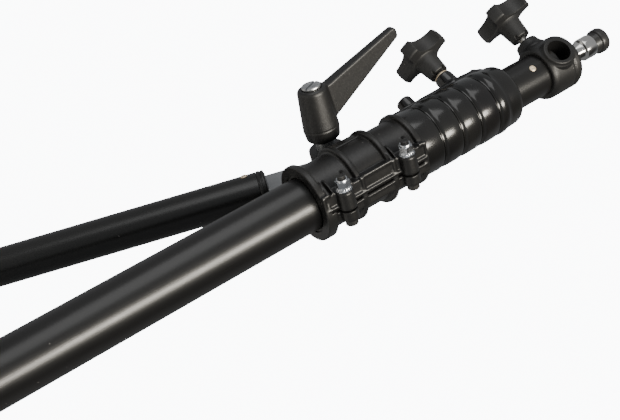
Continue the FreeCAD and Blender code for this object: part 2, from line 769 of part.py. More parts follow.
def makeLegTube(level):
    path, start, end = legPath(level)
    bodies = []
    for radius in (legTubeRadius, legTubeRadius - tubeWall):
        ring = Part.Wire([Part.Circle(start, AXIS_X, radius).toShape()])
        bodies.append(path.makePipeShell([ring], True, False))
    return bodies[0].cut(bodies[1])


def makeLegHub(level):
    middle = legHubMiddle(level)
    low = middle - legHubHeight / 2
    ring = rod(largeTubeRadius + legHubWall, legHubHeight, Vector(0, 0, low), AXIS_Z)
    ring = roundEdges(ring, 1.2, lambda edge: edge.BoundBox.ZLength < 1e-6)
    reach = largeTubeRadius + legHubWall + legSocketLength
    socket = rod(legTubeRadius + 3.2, reach, Vector(0, 0, middle), AXIS_X)
    socket = roundEdges(socket, 1.2, lambda edge: edge.BoundBox.XMin > reach - 0.1)
    body = ring.fuse(socket).removeSplitter()
    seatStart = largeTubeRadius + legHubWall + faceGap - fixedGap
    body = body.cut(rod(legTubeRadius + fixedGap, reach, Vector(seatStart, 0, middle), AXIS_X))
    return body.cut(rod(largeTubeRadius + slideGap, 2 * legHubHeight,
                        Vector(0, 0, low - 10), AXIS_Z))


def makeLegFoot(level):
    """Rubber foot round the leg's end, cut flat where it stands on the floor."""
    path, start, end = legPath(level)
    slope = math.radians(legSlope)
    direction = Vector(math.cos(slope), 0, -math.sin(slope))
    top = end - direction * (footLength - 8.0)
    body = rod(legTubeRadius + footWall, footLength + 16, top, direction)
    bore = rod(legTubeRadius + fixedGap, footLength - 8.0 + fixedGap, top, direction)
    far = 2 * legFootRadius
    above = block((0, far), (-far, far), (0, far))
    return body.cut(bore).common(above)


def makeHubWashers():
    washers = []
    for level in (0, 1):
        low = legHubMiddle(level) + legHubHeight / 2 + faceGap
        washers.append(tube(largeTubeRadius + legHubWall - 1.5, largeTubeRadius + fixedGap,
                            hubWasherThickness, Vector(0, 0, low), AXIS_Z))
    return Part.makeCompound(washers)


def makeLockRing():
    """Ring fixed to the column above the leg hubs."""
    low = legHubMiddle(2) + legHubHeight / 2 + faceGap
    ring = tube(largeTubeRadius + 6.0, largeTubeRadius + fixedGap, 16.0, Vector(0, 0, low), AXIS_Z)
    outer = largeTubeRadius + 6.0
    return roundEdges(ring, 1.5, lambda edge: edge.BoundBox.ZMin > low + 15.9
                      and edge.BoundBox.XLength > 1.9 * outer)


def makeColumnPlug():
    """Cap that closes the column's foot and carries the lowest leg hub."""
    flange = rod(largeTubeRadius + legHubWall - 1.0, 6.0 - fixedGap,
                 Vector(0, 0, columnBottom), AXIS_Z)
    skirt = flange.cut(rod(largeTubeRadius + fixedGap, 10, Vector(0, 0, columnBottom), AXIS_Z))
    base = rod(largeTubeRadius + legHubWall - 1.0, 4.0, Vector(0, 0, columnBottom - 4.0), AXIS_Z)
    base = roundEdges(base, 2.0, lambda edge: edge.BoundBox.ZMax < columnBottom - 3.9)
    plug = rod(largeTubeRadius - tubeWall - fixedGap, 20.0, Vector(0, 0, columnBottom), AXIS_Z)
    return fuseAll([skirt, base, plug])


# ---- assembly ---------------------------------------------------------------------

def onStand(shape):
    """Carry a shape from the boom's frame to the stand's."""
    lean = FreeCAD.Rotation(AXIS_Y, -(90.0 + boomFoldAngle))
    pivot = Vector(pivotStation, tongueCentre, pivotOffset)
    place = Vector(0, 0, pivotHeight) - lean.multVec(pivot)
    copy = shape.copy()
    copy.Placement = FreeCAD.Placement(place, lean).multiply(copy.Placement)
    return copy


def boomKnobSet(station, angle, rubRadius, reach):
    return [turned(piece, station, angle) for piece in knobSet(rubRadius, reach)]


nodes = {}

headCentre = headStart + socketStation
boomKnob, boomStud, boomPad = boomKnobSet(knobStation, spineAngle, middleTubeRadius, knobReach)
headKnob, headStud = boomKnobSet(headCentre, headKnobAngle, socketRadius, headKnobReach)[:2]

boomShapes = {
    "boom_tube": makeBoomTube(),
    "boom_tail_cap": makeBoomTailCap(),
    "boom_collar": makeBoomCollar(),
    "boom_collar_bush": makeBoomCollarBush(),
    "boom_set_screw": makeSetScrew(),
    "boom_brake_pad": boomPad,
    "boom_knob": boomKnob,
    "boom_knob_stud": boomStud,
    "extension_tube": makeHeadTube(),
    "extension_guide": makeExtensionGuide(),
    "extension_rivet": turned(rivet(middleTubeRadius), extensionRivetStation,
                              extensionRivetAngle),
    "head_casting": makeHead(),
    "head_knob": headKnob,
    "head_knob_stud": headStud,
    "spigot": makeSpigot(),
    "spigot_cap": makeSpigotCap(),
    "clamp_upper_half": makeClampHalf(True),
    "clamp_lower_half": makeClampHalf(False),
    "clamp_liner": makeClampLiner(),
    "clamp_bolts": makeClampBolts(),
    "clamp_nuts": makeClampNuts(),
    "clamp_washers": makeClampWashers(),
    "friction_discs": makeFrictionDiscs(),
    "pivot_bolt": makePivotBolt(),
    "lever_spacer": makeLeverSpacer(),
    "lever_insert": makeLeverInsert(),
    "lever_screw": makeLeverScrew(),
    "lever_spring": makeLeverSpring(),
    "lever_handle": makeLeverHandle(),
}
for name, shape in boomShapes.items():
    nodes[name] = onStand(shape)

nodes["riser_tongue"] = makeTongue()
nodes["riser_cap"] = makeRiserCap()
nodes["top_tube"] = makeTopTube()
nodes["riser_rivet"] = riserRivetPlace(rivet(smallTubeRadius))
nodes["top_guide"] = makeGuideBush(middleTubeRadius, smallTubeRadius, topTubeBottom, turnGap)
nodes["middle_tube"] = makeMiddleTube()
nodes["middle_guide"] = makeGuideBush(largeTubeRadius, middleTubeRadius, middleTubeBottom, fixedGap)
nodes["middle_collar"] = makeRiserCollar(middleTubeRadius, smallTubeRadius, middleTubeTop)
nodes["column_tube"] = makeColumnTube()
nodes["column_collar"] = makeRiserCollar(largeTubeRadius, middleTubeRadius, columnTop)
nodes["column_plug"] = makeColumnPlug()
nodes["hub_washers"] = makeHubWashers()
nodes["lock_ring"] = makeLockRing()

for prefix, rubRadius, tubeTop in (("middle", smallTubeRadius, middleTubeTop),
                                   ("column", middleTubeRadius, columnTop)):
    height = tubeTop + riserCollarHeight * 0.2
    knob, stud, pad = knobSet(rubRadius, riserKnobReach + rubRadius - smallTubeRadius)
    nodes[prefix + "_knob"] = riserKnobPlace(knob, height)
    nodes[prefix + "_knob_stud"] = riserKnobPlace(stud, height)
    nodes[prefix + "_brake_pad"] = riserKnobPlace(pad, height)

for level in range(3):
    suffix = "_" + "abc"[level]
    for name, maker in (("leg_hub", makeLegHub), ("leg_tube", makeLegTube),
                        ("leg_foot", makeLegFoot)):
        shape = maker(level)
        shape.rotate(Vector(0, 0, 0), AXIS_Z, 120 * level)
        nodes[name + suffix] = shape

# the frame's origin is the middle of the whole object's footprint, on the floor
whole = Part.makeCompound(list(nodes.values())).BoundBox
shift = Vector(-whole.Center.x, -whole.Center.y, 0)
print("column axis at", round(shift.x, 4), round(shift.y, 4), "lowest", round(whole.ZMin, 4))

os.makedirs("parts", exist_ok=True)
for name, shape in nodes.items():
    shape.translate(shift)
    shape.exportStep("parts/" + name + ".step")
print(len(nodes), "nodes")
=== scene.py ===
import json
import math
import bpy
import bmesh
from mathutils import Matrix, Vector


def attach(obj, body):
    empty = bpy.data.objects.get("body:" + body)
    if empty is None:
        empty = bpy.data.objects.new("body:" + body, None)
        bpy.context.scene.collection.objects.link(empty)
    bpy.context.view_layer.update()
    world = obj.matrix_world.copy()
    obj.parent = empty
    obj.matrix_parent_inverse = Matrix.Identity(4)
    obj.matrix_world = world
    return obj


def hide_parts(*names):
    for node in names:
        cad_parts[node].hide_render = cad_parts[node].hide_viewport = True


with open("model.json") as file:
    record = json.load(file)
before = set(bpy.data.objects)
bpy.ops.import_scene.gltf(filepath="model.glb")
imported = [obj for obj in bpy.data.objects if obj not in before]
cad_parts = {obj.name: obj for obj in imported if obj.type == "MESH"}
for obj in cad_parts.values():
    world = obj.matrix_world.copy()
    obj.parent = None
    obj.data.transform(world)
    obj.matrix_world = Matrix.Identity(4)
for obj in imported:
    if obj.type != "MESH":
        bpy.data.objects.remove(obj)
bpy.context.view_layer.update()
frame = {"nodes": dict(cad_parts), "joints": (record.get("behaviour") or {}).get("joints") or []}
print("frame loaded:", len(frame["nodes"]), "nodes")

# Boom pieces are drawn in millimetres in the boom's own frame: x along the boom
# to its head, y down through the clamp's parting plane, z towards the pivot bolt.
# Stand pieces are drawn in millimetres about the column's axis, z = 0 on the floor.

joints = {joint["name"]: joint for joint in frame["joints"]}
alongBoom = Vector(joints["boom_slide"]["axis"])
downBoom = -Vector(joints["boom_tilt"]["axis"])
backBoom = alongBoom.cross(downBoom)
pivotPlace = Vector(joints["boom_tilt"]["pos_m"])
pivotInBoom = Vector((46.0, 9.0, 35.0))
columnAxis = Vector(joints["boom_pan"]["pos_m"])
boomTurn = Matrix((alongBoom, downBoom, backBoom)).transposed().to_4x4()
toMetres = Matrix.Scale(0.001, 4)
boomPlace = Matrix.Translation(pivotPlace) @ boomTurn @ toMetres @ Matrix.Translation(-pivotInBoom)
standPlace = Matrix.Translation((columnAxis.x, columnAxis.y, 0)) @ toMetres
xAxis, yAxis, zAxis = Vector((1, 0, 0)), Vector((0, 1, 0)), Vector((0, 0, 1))

# three tube sizes that slide into each other, shared by the boom and the stand
tubes = {"large": 17.5, "middle": 15.0, "small": 12.5, "wall": 1.5, "edge": 0.3}
studHole = 3.1           # clearance for a knob's threaded stud
padRoom = 5.1            # room for the brake pad at the stud's tip


def lathe(points, steps=96, closed=False, axis=(1, 0, 0)):
    # outline points are (distance along the axis, radius)
    bm = bmesh.new()
    axis = Vector(axis)
    side = Vector((0, 0, 1)) if abs(axis.z) < 0.5 else Vector((1, 0, 0))
    verts = [bm.verts.new(axis * x + side * r) for x, r in points]
    for first, second in zip(verts, verts[1:]):
        bm.edges.new((first, second))
    if closed:
        bm.edges.new((verts[-1], verts[0]))
    bmesh.ops.spin(bm, geom=bm.verts[:] + bm.edges[:], cent=(0, 0, 0), axis=axis,
                   angle=2 * math.pi, steps=steps, use_merge=True)
    bmesh.ops.remove_doubles(bm, verts=bm.verts[:], dist=0.0005)
    bmesh.ops.recalc_face_normals(bm, faces=bm.faces[:])
    return bm


def cylinder(start, direction, length, radius, endRadius=None, steps=64):
    bm = bmesh.new()
    turn = Vector(direction).to_track_quat("Z", "Y").to_matrix().to_4x4()
    place = Matrix.Translation(start) @ turn @ Matrix.Translation((0, 0, length / 2))
    bmesh.ops.create_cone(bm, cap_ends=True, segments=steps, radius1=radius,
                          radius2=radius if endRadius is None else endRadius,
                          depth=length, matrix=place)
    return bm


def slab(low, high):
    bm = bmesh.new()
    low, high = Vector(low), Vector(high)
    size = Matrix.Diagonal((*(high - low), 1))
    bmesh.ops.create_cube(bm, size=1, matrix=Matrix.Translation((low + high) / 2) @ size)
    return bm


def plate(outline, thickness):
    # outline in the xy plane, thickened evenly on both sides of z = 0
    bm = bmesh.new()
    face = bm.faces.new([bm.verts.new((x, y, -thickness / 2)) for x, y in outline])
    grown = bmesh.ops.extrude_face_region(bm, geom=[face])["geom"]
    top = [item for item in grown if isinstance(item, bmesh.types.BMVert)]
    bmesh.ops.translate(bm, vec=(0, 0, thickness), verts=top)
    bmesh.ops.recalc_face_normals(bm, faces=bm.faces[:])
    return bm


def shifted(bm, place):
    bm.transform(place)
    return bm


def outward(station, angle):
    # carries a shape drawn about +z to a boom station, pointing away from the boom
    return Matrix.Translation((station, 0, 0)) @ Matrix.Rotation(math.radians(angle), 4, "X")


def crosswise(bm, x):
    # stands a plate drawn as (distance to the front, y) across the boom at a station
    return shifted(bm, Matrix.Translation((x, 0, 0)) @ Matrix.Rotation(math.pi / 2, 4, "Y"))


def tubeShape(start, end, outer, axis):
    inner, edge = outer - tubes["wall"], tubes["edge"]
    return lathe([(start, inner), (start, outer - edge), (start + edge, outer),
                  (end - edge, outer), (end, outer - edge), (end, inner)], 160, True, axis)


def rivetShape(tubeRadius):
    # hollow-headed rivet through a tube's wall, drawn about +z from the tube's axis
    outline = [(-1.8, 0), (-1.8, 1.3), (0.02, 1.3), (0.02, 2.3), (0.3, 2.25), (0.65, 1.85),
               (0.85, 1.1), (0.8, 0.75), (0.55, 0.6), (0.5, 0)]
    return lathe([(tubeRadius + height, radius) for height, radius in outline], 48, False, zAxis)


def softenEdges(bm, width, segments=2, limit=30):
    sharp = [edge for edge in bm.edges
             if len(edge.link_faces) == 2 and edge.calc_face_angle(0) > math.radians(limit)]
    bmesh.ops.bevel(bm, geom=sharp, offset=width, segments=segments, profile=0.5,
                    affect="EDGES", material=-1, clamp_overlap=True)
    return bm


def toObject(bm, name):
    mesh = bpy.data.meshes.new(name)
    bm.to_mesh(mesh)
    bm.free()
    obj = bpy.data.objects.new(name, mesh)
    bpy.context.scene.collection.objects.link(obj)
    return obj


def evaluated(obj):
    # the mesh with its modifiers applied, as a new bmesh; the helper object goes
    depsgraph = bpy.context.evaluated_depsgraph_get()
    mesh = bpy.data.meshes.new_from_object(obj.evaluated_get(depsgraph))
    bm = bmesh.new()
    bm.from_mesh(mesh)
    bpy.data.meshes.remove(mesh)
    discard(obj)
    return bm


def discard(obj):
    mesh = obj.data
    bpy.data.objects.remove(obj)
    bpy.data.meshes.remove(mesh)


def joined(pieces):
    bm = pieces[0]
    for piece in pieces[1:]:
        mesh = bpy.data.meshes.new("joined")
        piece.to_mesh(mesh)
        piece.free()
        bm.from_mesh(mesh)
        bpy.data.meshes.remove(mesh)
    return bm


def solved(base, tools, operation):
    obj = toObject(base, "base")
    helpers = [toObject(tool, "tool") for tool in tools]
    for helper in helpers:
        modifier = obj.modifiers.new("solve", "BOOLEAN")
        modifier.object = helper
        modifier.operation = operation
        modifier.solver = "EXACT"
    bm = evaluated(obj)
    for helper in helpers:
        discard(helper)
    return bm


def carved(base, cutters):
    return solved(base, cutters, "DIFFERENCE")


def cast(pieces, cutters, voxel, smoothing):
    # one casting: overlapping shapes grow together with soft inner and outer corners
    obj = toObject(joined(pieces), "cast")
    remesh = obj.modifiers.new("remesh", "REMESH")
    remesh.mode = "VOXEL"
    remesh.voxel_size = voxel
    helpers = [toObject(cutter, "cutter") for cutter in cutters]
    for helper in helpers:
        cut = obj.modifiers.new("cut", "BOOLEAN")
        cut.object = helper
        cut.operation = "DIFFERENCE"
        cut.solver = "EXACT"
    smooth = obj.modifiers.new("smooth", "SMOOTH")
    smooth.factor = 0.5
    smooth.iterations = smoothing
    bm = evaluated(obj)
    for helper in helpers:
        discard(helper)
    return bm


def finishPiece(bm, name, place, body, material, nodes=(), sharpAngle=38):
    bm.transform(place)
    obj = toObject(bm, name)
    obj.data.shade_smooth()
    obj.data.set_sharp_from_angle(angle=math.radians(sharpAngle))
    obj.data.materials.append(material)
    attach(obj, body)
    if nodes:
        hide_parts(*nodes)
    return obj


def startGroup(name, inputs, outputs):
    group = bpy.data.node_groups.new(name, "ShaderNodeTree")
    for socketName, kind, value in inputs:
        socket = group.interface.new_socket(name=socketName, in_out="INPUT", socket_type=kind)
        if value is not None:
            socket.default_value = value
    for socketName in outputs:
        group.interface.new_socket(name=socketName, in_out="OUTPUT",
                                   socket_type="NodeSocketFloat")
    return group, group.nodes.new("NodeGroupInput"), group.nodes.new("NodeGroupOutput")


def addMath(tree, operation, first, second, clamp=False):
    node = tree.nodes.new("ShaderNodeMath")
    node.operation = operation
    node.use_clamp = clamp
    for socket, value in zip(node.inputs, (first, second)):
        if isinstance(value, (int, float)):
            socket.default_value = value
        else:
            tree.links.new(value, socket)
    return node.outputs[0]


def addRange(tree, value, fromLow, fromHigh, toLow=0.0, toHigh=1.0):
    node = tree.nodes.new("ShaderNodeMapRange")
    tree.links.new(value, node.inputs["Value"])
    for key, number in (("From Min", fromLow), ("From Max", fromHigh),
                        ("To Min", toLow), ("To Max", toHigh)):
        if isinstance(number, (int, float)):
            node.inputs[key].default_value = number
        else:
            tree.links.new(number, node.inputs[key])
    return node.outputs["Result"]


def addNoise(tree, vector, scale, detail, roughness=0.5):
    node = tree.nodes.new("ShaderNodeTexNoise")
    tree.links.new(vector, node.inputs["Vector"])
    node.inputs["Detail"].default_value = detail
    node.inputs["Roughness"].default_value = roughness
    if isinstance(scale, (int, float)):
        node.inputs["Scale"].default_value = scale
    else:
        tree.links.new(scale, node.inputs["Scale"])
    return node.outputs["Fac"]


def buildGrainGroup():
    # fine texture of a moulding, powder coat or brushed metal, with broad clouding
    group, entry, leave = startGroup(
        "surfaceGrain",
        [("Vector", "NodeSocketVector", None), ("Size", "NodeSocketFloat", 2500.0)],
        ["Height", "Cloud"])
    fine = addNoise(group, entry.outputs["Vector"], entry.outputs["Size"], 3.0, 0.6)
    coarseSize = addMath(group, "MULTIPLY", entry.outputs["Size"], 0.16)
    coarse = addNoise(group, entry.outputs["Vector"], coarseSize, 2.0)
    height = addMath(group, "ADD", addMath(group, "MULTIPLY", fine, 0.7),
                     addMath(group, "MULTIPLY", coarse, 0.3))
    cloudSize = addMath(group, "MULTIPLY", entry.outputs["Size"], 0.02)
    cloud = addNoise(group, entry.outputs["Vector"], cloudSize, 3.0)
    group.links.new(height, leave.inputs["Height"])
    group.links.new(addRange(group, cloud, 0.35, 0.65), leave.inputs["Cloud"])
    return group


def buildWearGroup():
    # handled corners rub lighter, broken up by noise
    group, entry, leave = startGroup(
        "edgeWear",
        [("Vector", "NodeSocketVector", None), ("Threshold", "NodeSocketFloat", 0.53)],
        ["Mask"])
    geometry = group.nodes.new("ShaderNodeNewGeometry")
    top = addMath(group, "ADD", entry.outputs["Threshold"], 0.06)
    edge = addRange(group, geometry.outputs["Pointiness"], entry.outputs["Threshold"], top)
    patch = addRange(group, addNoise(group, entry.outputs["Vector"], 420.0, 4.0), 0.38, 0.66)
    group.links.new(addMath(group, "MULTIPLY", edge, patch, True), leave.inputs["Mask"])
    return group


def buildSpeckGroup():
    # sparse lint and dust specks
    group, entry, leave = startGroup(
        "dustSpecks",
        [("Vector", "NodeSocketVector", None), ("Density", "NodeSocketFloat", 0.04)],
        ["Mask"])
    cells = group.nodes.new("ShaderNodeTexVoronoi")
    cells.inputs["Scale"].default_value = 420.0
    group.links.new(entry.outputs["Vector"], cells.inputs["Vector"])
    near = addMath(group, "LESS_THAN", cells.outputs["Distance"], 0.13)
    chance = group.nodes.new("ShaderNodeSeparateColor")
    group.links.new(cells.outputs["Color"], chance.inputs["Color"])
    chosen = addMath(group, "LESS_THAN", chance.outputs["Red"], entry.outputs["Density"])
    group.links.new(addMath(group, "MULTIPLY", near, chosen), leave.inputs["Mask"])
    return group


grainGroup = buildGrainGroup()
wearGroup = buildWearGroup()
speckGroup = buildSpeckGroup()


def placeGroup(tree, group, vector, **values):
    node = tree.nodes.new("ShaderNodeGroup")
    node.node_tree = group
    tree.links.new(vector, node.inputs["Vector"])
    for key, value in values.items():
        node.inputs[key].default_value = value
    return node


def mixColour(tree, factor, first, second):
    node = tree.nodes.new("ShaderNodeMix")
    node.data_type = "RGBA"
    tree.links.new(factor, node.inputs["Factor"])
    for socket, value in ((node.inputs[6], first), (node.inputs[7], second)):
        if isinstance(value, tuple):
            socket.default_value = (*value, 1.0)
        else:
            tree.links.new(value, socket)
    return node.outputs[2]


finishDefaults = {
    "colour": (0.007, 0.007, 0.0072), "clouded": (0.011, 0.0108, 0.0105),
    "worn": (0.035, 0.034, 0.033), "dust": (0.16, 0.155, 0.15),
    "metallic": 0.0, "roughness": 0.38, "roughnessSpread": 0.05, "specular": 0.5,
    "grainSize": 2500.0, "grainDepth": 0.25, "wearFrom": 2.0, "density": 0.02,
    "stretch": (1.0, 1.0, 1.0), "turn": None, "coat": 0.0, "coatRoughness": 0.1,
}


def makeFinish(name, **changes):
    use = {**finishDefaults, **changes}
    material = bpy.data.materials.new(name)
    material.use_nodes = True
    tree = material.node_tree
    shader = tree.nodes["Principled BSDF"]
    coordinates = tree.nodes.new("ShaderNodeTexCoord")
    place = tree.nodes.new("ShaderNodeMapping")
    tree.links.new(coordinates.outputs["Object"], place.inputs["Vector"])
    if use["turn"] is not None:
        place.inputs["Rotation"].default_value = use["turn"].to_euler()
    spread = tree.nodes.new("ShaderNodeMapping")
    spread.inputs["Scale"].default_value = use["stretch"]
    tree.links.new(place.outputs["Vector"], spread.inputs["Vector"])
    grain = placeGroup(tree, grainGroup, spread.outputs["Vector"], Size=use["grainSize"])
    wear = placeGroup(tree, wearGroup, place.outputs["Vector"], Threshold=use["wearFrom"])
    speck = placeGroup(tree, speckGroup, place.outputs["Vector"], Density=use["density"])
    colour = mixColour(tree, grain.outputs["Cloud"], use["colour"], use["clouded"])
    colour = mixColour(tree, wear.outputs["Mask"], colour, use["worn"])
    colour = mixColour(tree, speck.outputs["Mask"], colour, use["dust"])
    tree.links.new(colour, shader.inputs["Base Color"])
    low = use["roughness"] - use["roughnessSpread"]
    high = use["roughness"] + use["roughnessSpread"]
    tree.links.new(addRange(tree, grain.outputs["Height"], 0.3, 0.7, low, high),
                   shader.inputs["Roughness"])
    bump = tree.nodes.new("ShaderNodeBump")
    bump.inputs["Strength"].default_value = use["grainDepth"]
    bump.inputs["Distance"].default_value = 0.0002
    tree.links.new(grain.outputs["Height"], bump.inputs["Height"])
    tree.links.new(bump.outputs["Normal"], shader.inputs["Normal"])
    shader.inputs["Metallic"].default_value = use["metallic"]
    shader.inputs["Specular IOR Level"].default_value = use["specular"]
    shader.inputs["Coat Weight"].default_value = use["coat"]
    shader.inputs["Coat Roughness"].default_value = use["coatRoughness"]
    return material


intoBoom = boomTurn.inverted().to_3x3()
finishes = {
    "boomTube": makeFinish("anodised_boom_tube", roughness=0.3, roughnessSpread=0.03,
                           grainSize=1800.0, grainDepth=0.12, stretch=(0.05, 1.0, 1.0),
                           turn=intoBoom, density=0.006),
    "standTube": makeFinish("anodised_stand_tube", roughness=0.3, roughnessSpread=0.03,
                            grainSize=1800.0, grainDepth=0.12, stretch=(1.0, 1.0, 0.05),
                            density=0.006),
    "legTube": makeFinish("anodised_leg_tube", roughness=0.3, roughnessSpread=0.03,
                          grainSize=1800.0, grainDepth=0.12, density=0.006),
    "casting": makeFinish("powder_coated_casting", roughness=0.36, grainSize=1500.0,
                          grainDepth=0.3),
    "collar": makeFinish("glossy_collar", colour=(0.006, 0.006, 0.0062), roughness=0.2,
                         roughnessSpread=0.02, grainSize=1200.0, grainDepth=0.05,
                         density=0.006, coat=0.2, coatRoughness=0.1),
    "head": makeFinish("satin_head_casting", roughness=0.45, grainSize=1500.0, grainDepth=0.3),
    "lever": makeFinish("textured_lever", colour=(0.009, 0.009, 0.0095), roughness=0.4,
                        grainSize=2200.0, grainDepth=0.45, wearFrom=0.58),
    "knob": makeFinish("moulded_knob", colour=(0.011, 0.011, 0.0115), clouded=(0.016, 0.016, 0.016),
                       roughness=0.5, grainSize=2600.0, grainDepth=0.5, wearFrom=0.58),
    "zinc": makeFinish("bright_zinc", colour=(0.62, 0.64, 0.67), clouded=(0.5, 0.51, 0.53),
                       worn=(0.85, 0.85, 0.85), dust=(0.3, 0.29, 0.27), metallic=1.0,
                       roughness=0.22, roughnessSpread=0.1, grainSize=1500.0, density=0.02),
    "darkSteel": makeFinish("black_oxide_steel", colour=(0.05, 0.05, 0.052),
                            clouded=(0.08, 0.078, 0.075), worn=(0.3, 0.3, 0.3), metallic=0.8,
                            roughness=0.38),
    "greySteel": makeFinish("turned_grey_steel", colour=(0.34, 0.35, 0.36),
                            clouded=(0.24, 0.245, 0.25), worn=(0.5, 0.5, 0.5), metallic=0.5,
                            roughness=0.36, grainSize=1600.0),
    "chrome": makeFinish("polished_chrome", colour=(0.78, 0.77, 0.75), clouded=(0.7, 0.68, 0.66),
                         worn=(0.85, 0.85, 0.85), metallic=1.0, roughness=0.14,
                         roughnessSpread=0.02, grainDepth=0.01, density=0.004),
    "screwTop": makeFinish("scuffed_screw_top", colour=(0.42, 0.43, 0.44),
                           clouded=(0.7, 0.71, 0.72), worn=(0.9, 0.9, 0.9),
                           dust=(0.12, 0.12, 0.12), metallic=1.0, roughness=0.32,
                           roughnessSpread=0.14, grainSize=1100.0, grainDepth=0.8,
                           density=0.08),
    "stud": makeFinish("threaded_stud", colour=(0.55, 0.54, 0.52), clouded=(0.38, 0.37, 0.35),
                       worn=(0.8, 0.8, 0.8), metallic=1.0, roughness=0.3, grainSize=1500.0),
    "cap": makeFinish("black_cap", colour=(0.012, 0.012, 0.0125), clouded=(0.02, 0.02, 0.02),
                      roughness=0.34, grainSize=1800.0, grainDepth=0.2),
    "brass": makeFinish("dull_brass", colour=(0.75, 0.6, 0.42), clouded=(0.85, 0.76, 0.6),
                        worn=(0.9, 0.82, 0.7), metallic=0.6, roughness=0.4),
    "nylon": makeFinish("dark_nylon", colour=(0.03, 0.03, 0.03), clouded=(0.04, 0.04, 0.04),
                        roughness=0.5),
    "rubber": makeFinish("black_rubber", colour=(0.018, 0.018, 0.018),
                         clouded=(0.03, 0.03, 0.03), roughness=0.7, grainDepth=0.6),
}
print("finishes ready:", len(finishes))

# telescopic tubes of the boom
boom = {"start": -770.0, "end": 150.0, "extensionStart": -432.8, "extensionEnd": 210.5,
        "rivetStation": 188.2, "rivetAngle": 127}
finishPiece(tubeShape(boom["start"], boom["end"], tubes["large"], xAxis), "boomTubeLook",
            boomPlace, "boom", finishes["boomTube"], ["boom_tube"])
finishPiece(tubeShape(boom["extensionStart"], boom["extensionEnd"], tubes["middle"], xAxis),
            "extensionTubeLook", boomPlace, "boom_extension",
            finishes["boomTube"], ["extension_tube"])
finishPiece(shifted(rivetShape(tubes["middle"]), outward(boom["rivetStation"], boom["rivetAngle"])),
            "extensionRivetLook", boomPlace, "boom_extension",
            finishes["brass"], ["extension_rivet"])
print("boom tubes ready")

# split clamp: a ribbed sleeve in two halves with bolted lugs in front and ears behind
clamp = {
    "start": 3.0, "end": 82.5, "bore": 19.4, "panel": 21.6, "rib": 25.0, "rim": 25.3,
    "ribs": (32.0, 56.0), "bolts": (18.0, 66.0), "boltZ": -26.0, "lugZ": -24.0,
    "upperLug": 12.0, "lowerLug": 7.6, "upperBoss": 12.6, "lowerBoss": 8.0, "boss": 5.7,
    "upperRim": 3.8, "lowerRim": 6.8, "gap": 0.6, "tongueTop": 3.9, "tongueFoot": 14.1,
    "ear": 12.0, "boltHole": 2.6, "pivotHole": 4.1, "voxel": 0.45,
    "lugFields": ((5.0, 12.0), (24.0, 60.2), (72.0, 81.0)),
}
pivotX, pivotZ = pivotInBoom.x, pivotInBoom.z


def sleeveOutline(leftRimWidth):
    panel, rib, rim = clamp["panel"], clamp["rib"], clamp["rim"]
    start, end = clamp["start"], clamp["end"]
    points = [(start, 0), (start, rim - 0.4), (start + 0.4, rim), (start + leftRimWidth, rim),
              (start + leftRimWidth + 0.5, rim - 0.5), (start + leftRimWidth + 0.9, panel)]
    for station in clamp["ribs"]:
        points += [(station - 2.1, panel), (station - 1.7, rib - 0.4), (station - 1.2, rib),
                   (station + 1.2, rib), (station + 1.7, rib - 0.4), (station + 2.1, panel)]
    points += [(end - 4.2, panel), (end - 3.8, rib - 0.9), (end - 3.3, rib - 0.5),
               (end - 0.5, rib - 0.5), (end, rib - 0.9), (end, 0)]
    return points


def bar(start, end, radius):
    start, end = Vector(start), Vector(end)
    return cylinder(start, end - start, (end - start).length, radius, steps=20)


def lugBlocks(side, lugTop, bossTop):
    # the bolted lug in front, the closed joint behind and a round boss at each bolt
    gap, start = clamp["gap"], clamp["start"]

    def block(x, reach, z):
        low, high = sorted((side * gap, side * reach))
        return slab((x[0], low, z[0]), (x[1], high, z[1]))

    blocks = [block((start, clamp["end"]), lugTop, (clamp["lugZ"], -15)),
              block((start, pivotX - 13), 4.2, (15, 23.6))]
    for station in clamp["bolts"]:
        blocks.append(cylinder((station, side * gap, clamp["boltZ"]), (0, side, 0),
                               bossTop - gap - 0.8, clamp["boss"], clamp["boss"] - 0.2))
        blocks.append(cylinder((station, side * (bossTop - 0.9), clamp["boltZ"]), (0, side, 0),
                               0.9, clamp["boss"] - 0.3, clamp["boss"] - 0.9))
    return blocks


def fieldBars(y, z, radius):
    return [bar((low, y, z), (high, y, z), radius) for low, high in clamp["lugFields"]]


def upperDetails():
    # frames along the lug's upper edge, fins beside the nuts and the upper ear
    lugZ, pieces = clamp["lugZ"], []
    for low, high in ((3.0, 8.5), (31.0, 57.8), (77.0, 82.5)):
        pieces.append(slab((low, -13.3, lugZ - 0.5), (high, -11.4, lugZ + 1.3)))
    for x in (3.9, 32.6, 56.6, 81.4):
        pieces.append(slab((x - 0.9, -12.4, lugZ - 0.9), (x + 0.9, -1.2, lugZ + 1)))
    fin = [(13.5, -11), (13.5, -17.6), (16.4, -17.6), (20.4, -15.8), (23.9, -12.8), (23.9, -11)]
    for station in clamp["bolts"]:
        for offset, thickness in ((-9.6, 1.7), (-6.4, 1.3), (7.2, 1.5)):
            pieces.append(crosswise(plate(fin, thickness), station + offset))
    pieces += fieldBars(-2.9, lugZ - 0.2, 1.15)
    shoulder = [(-25, -2), (-25, -8), (-19.5, -15.5), (-13, -20.2), (-6, -21.6), (-6, -2)]
    pieces.append(crosswise(plate(shoulder, 22.4), pivotX - 1.6))
    ear, foot = clamp["ear"], clamp["tongueTop"]
    pieces.append(cylinder((pivotX, foot, pivotZ), (0, -1, 0), foot + 8, ear))
    pieces.append(slab((pivotX - ear, -8, 16), (pivotX + ear, foot, pivotZ)))
    return pieces


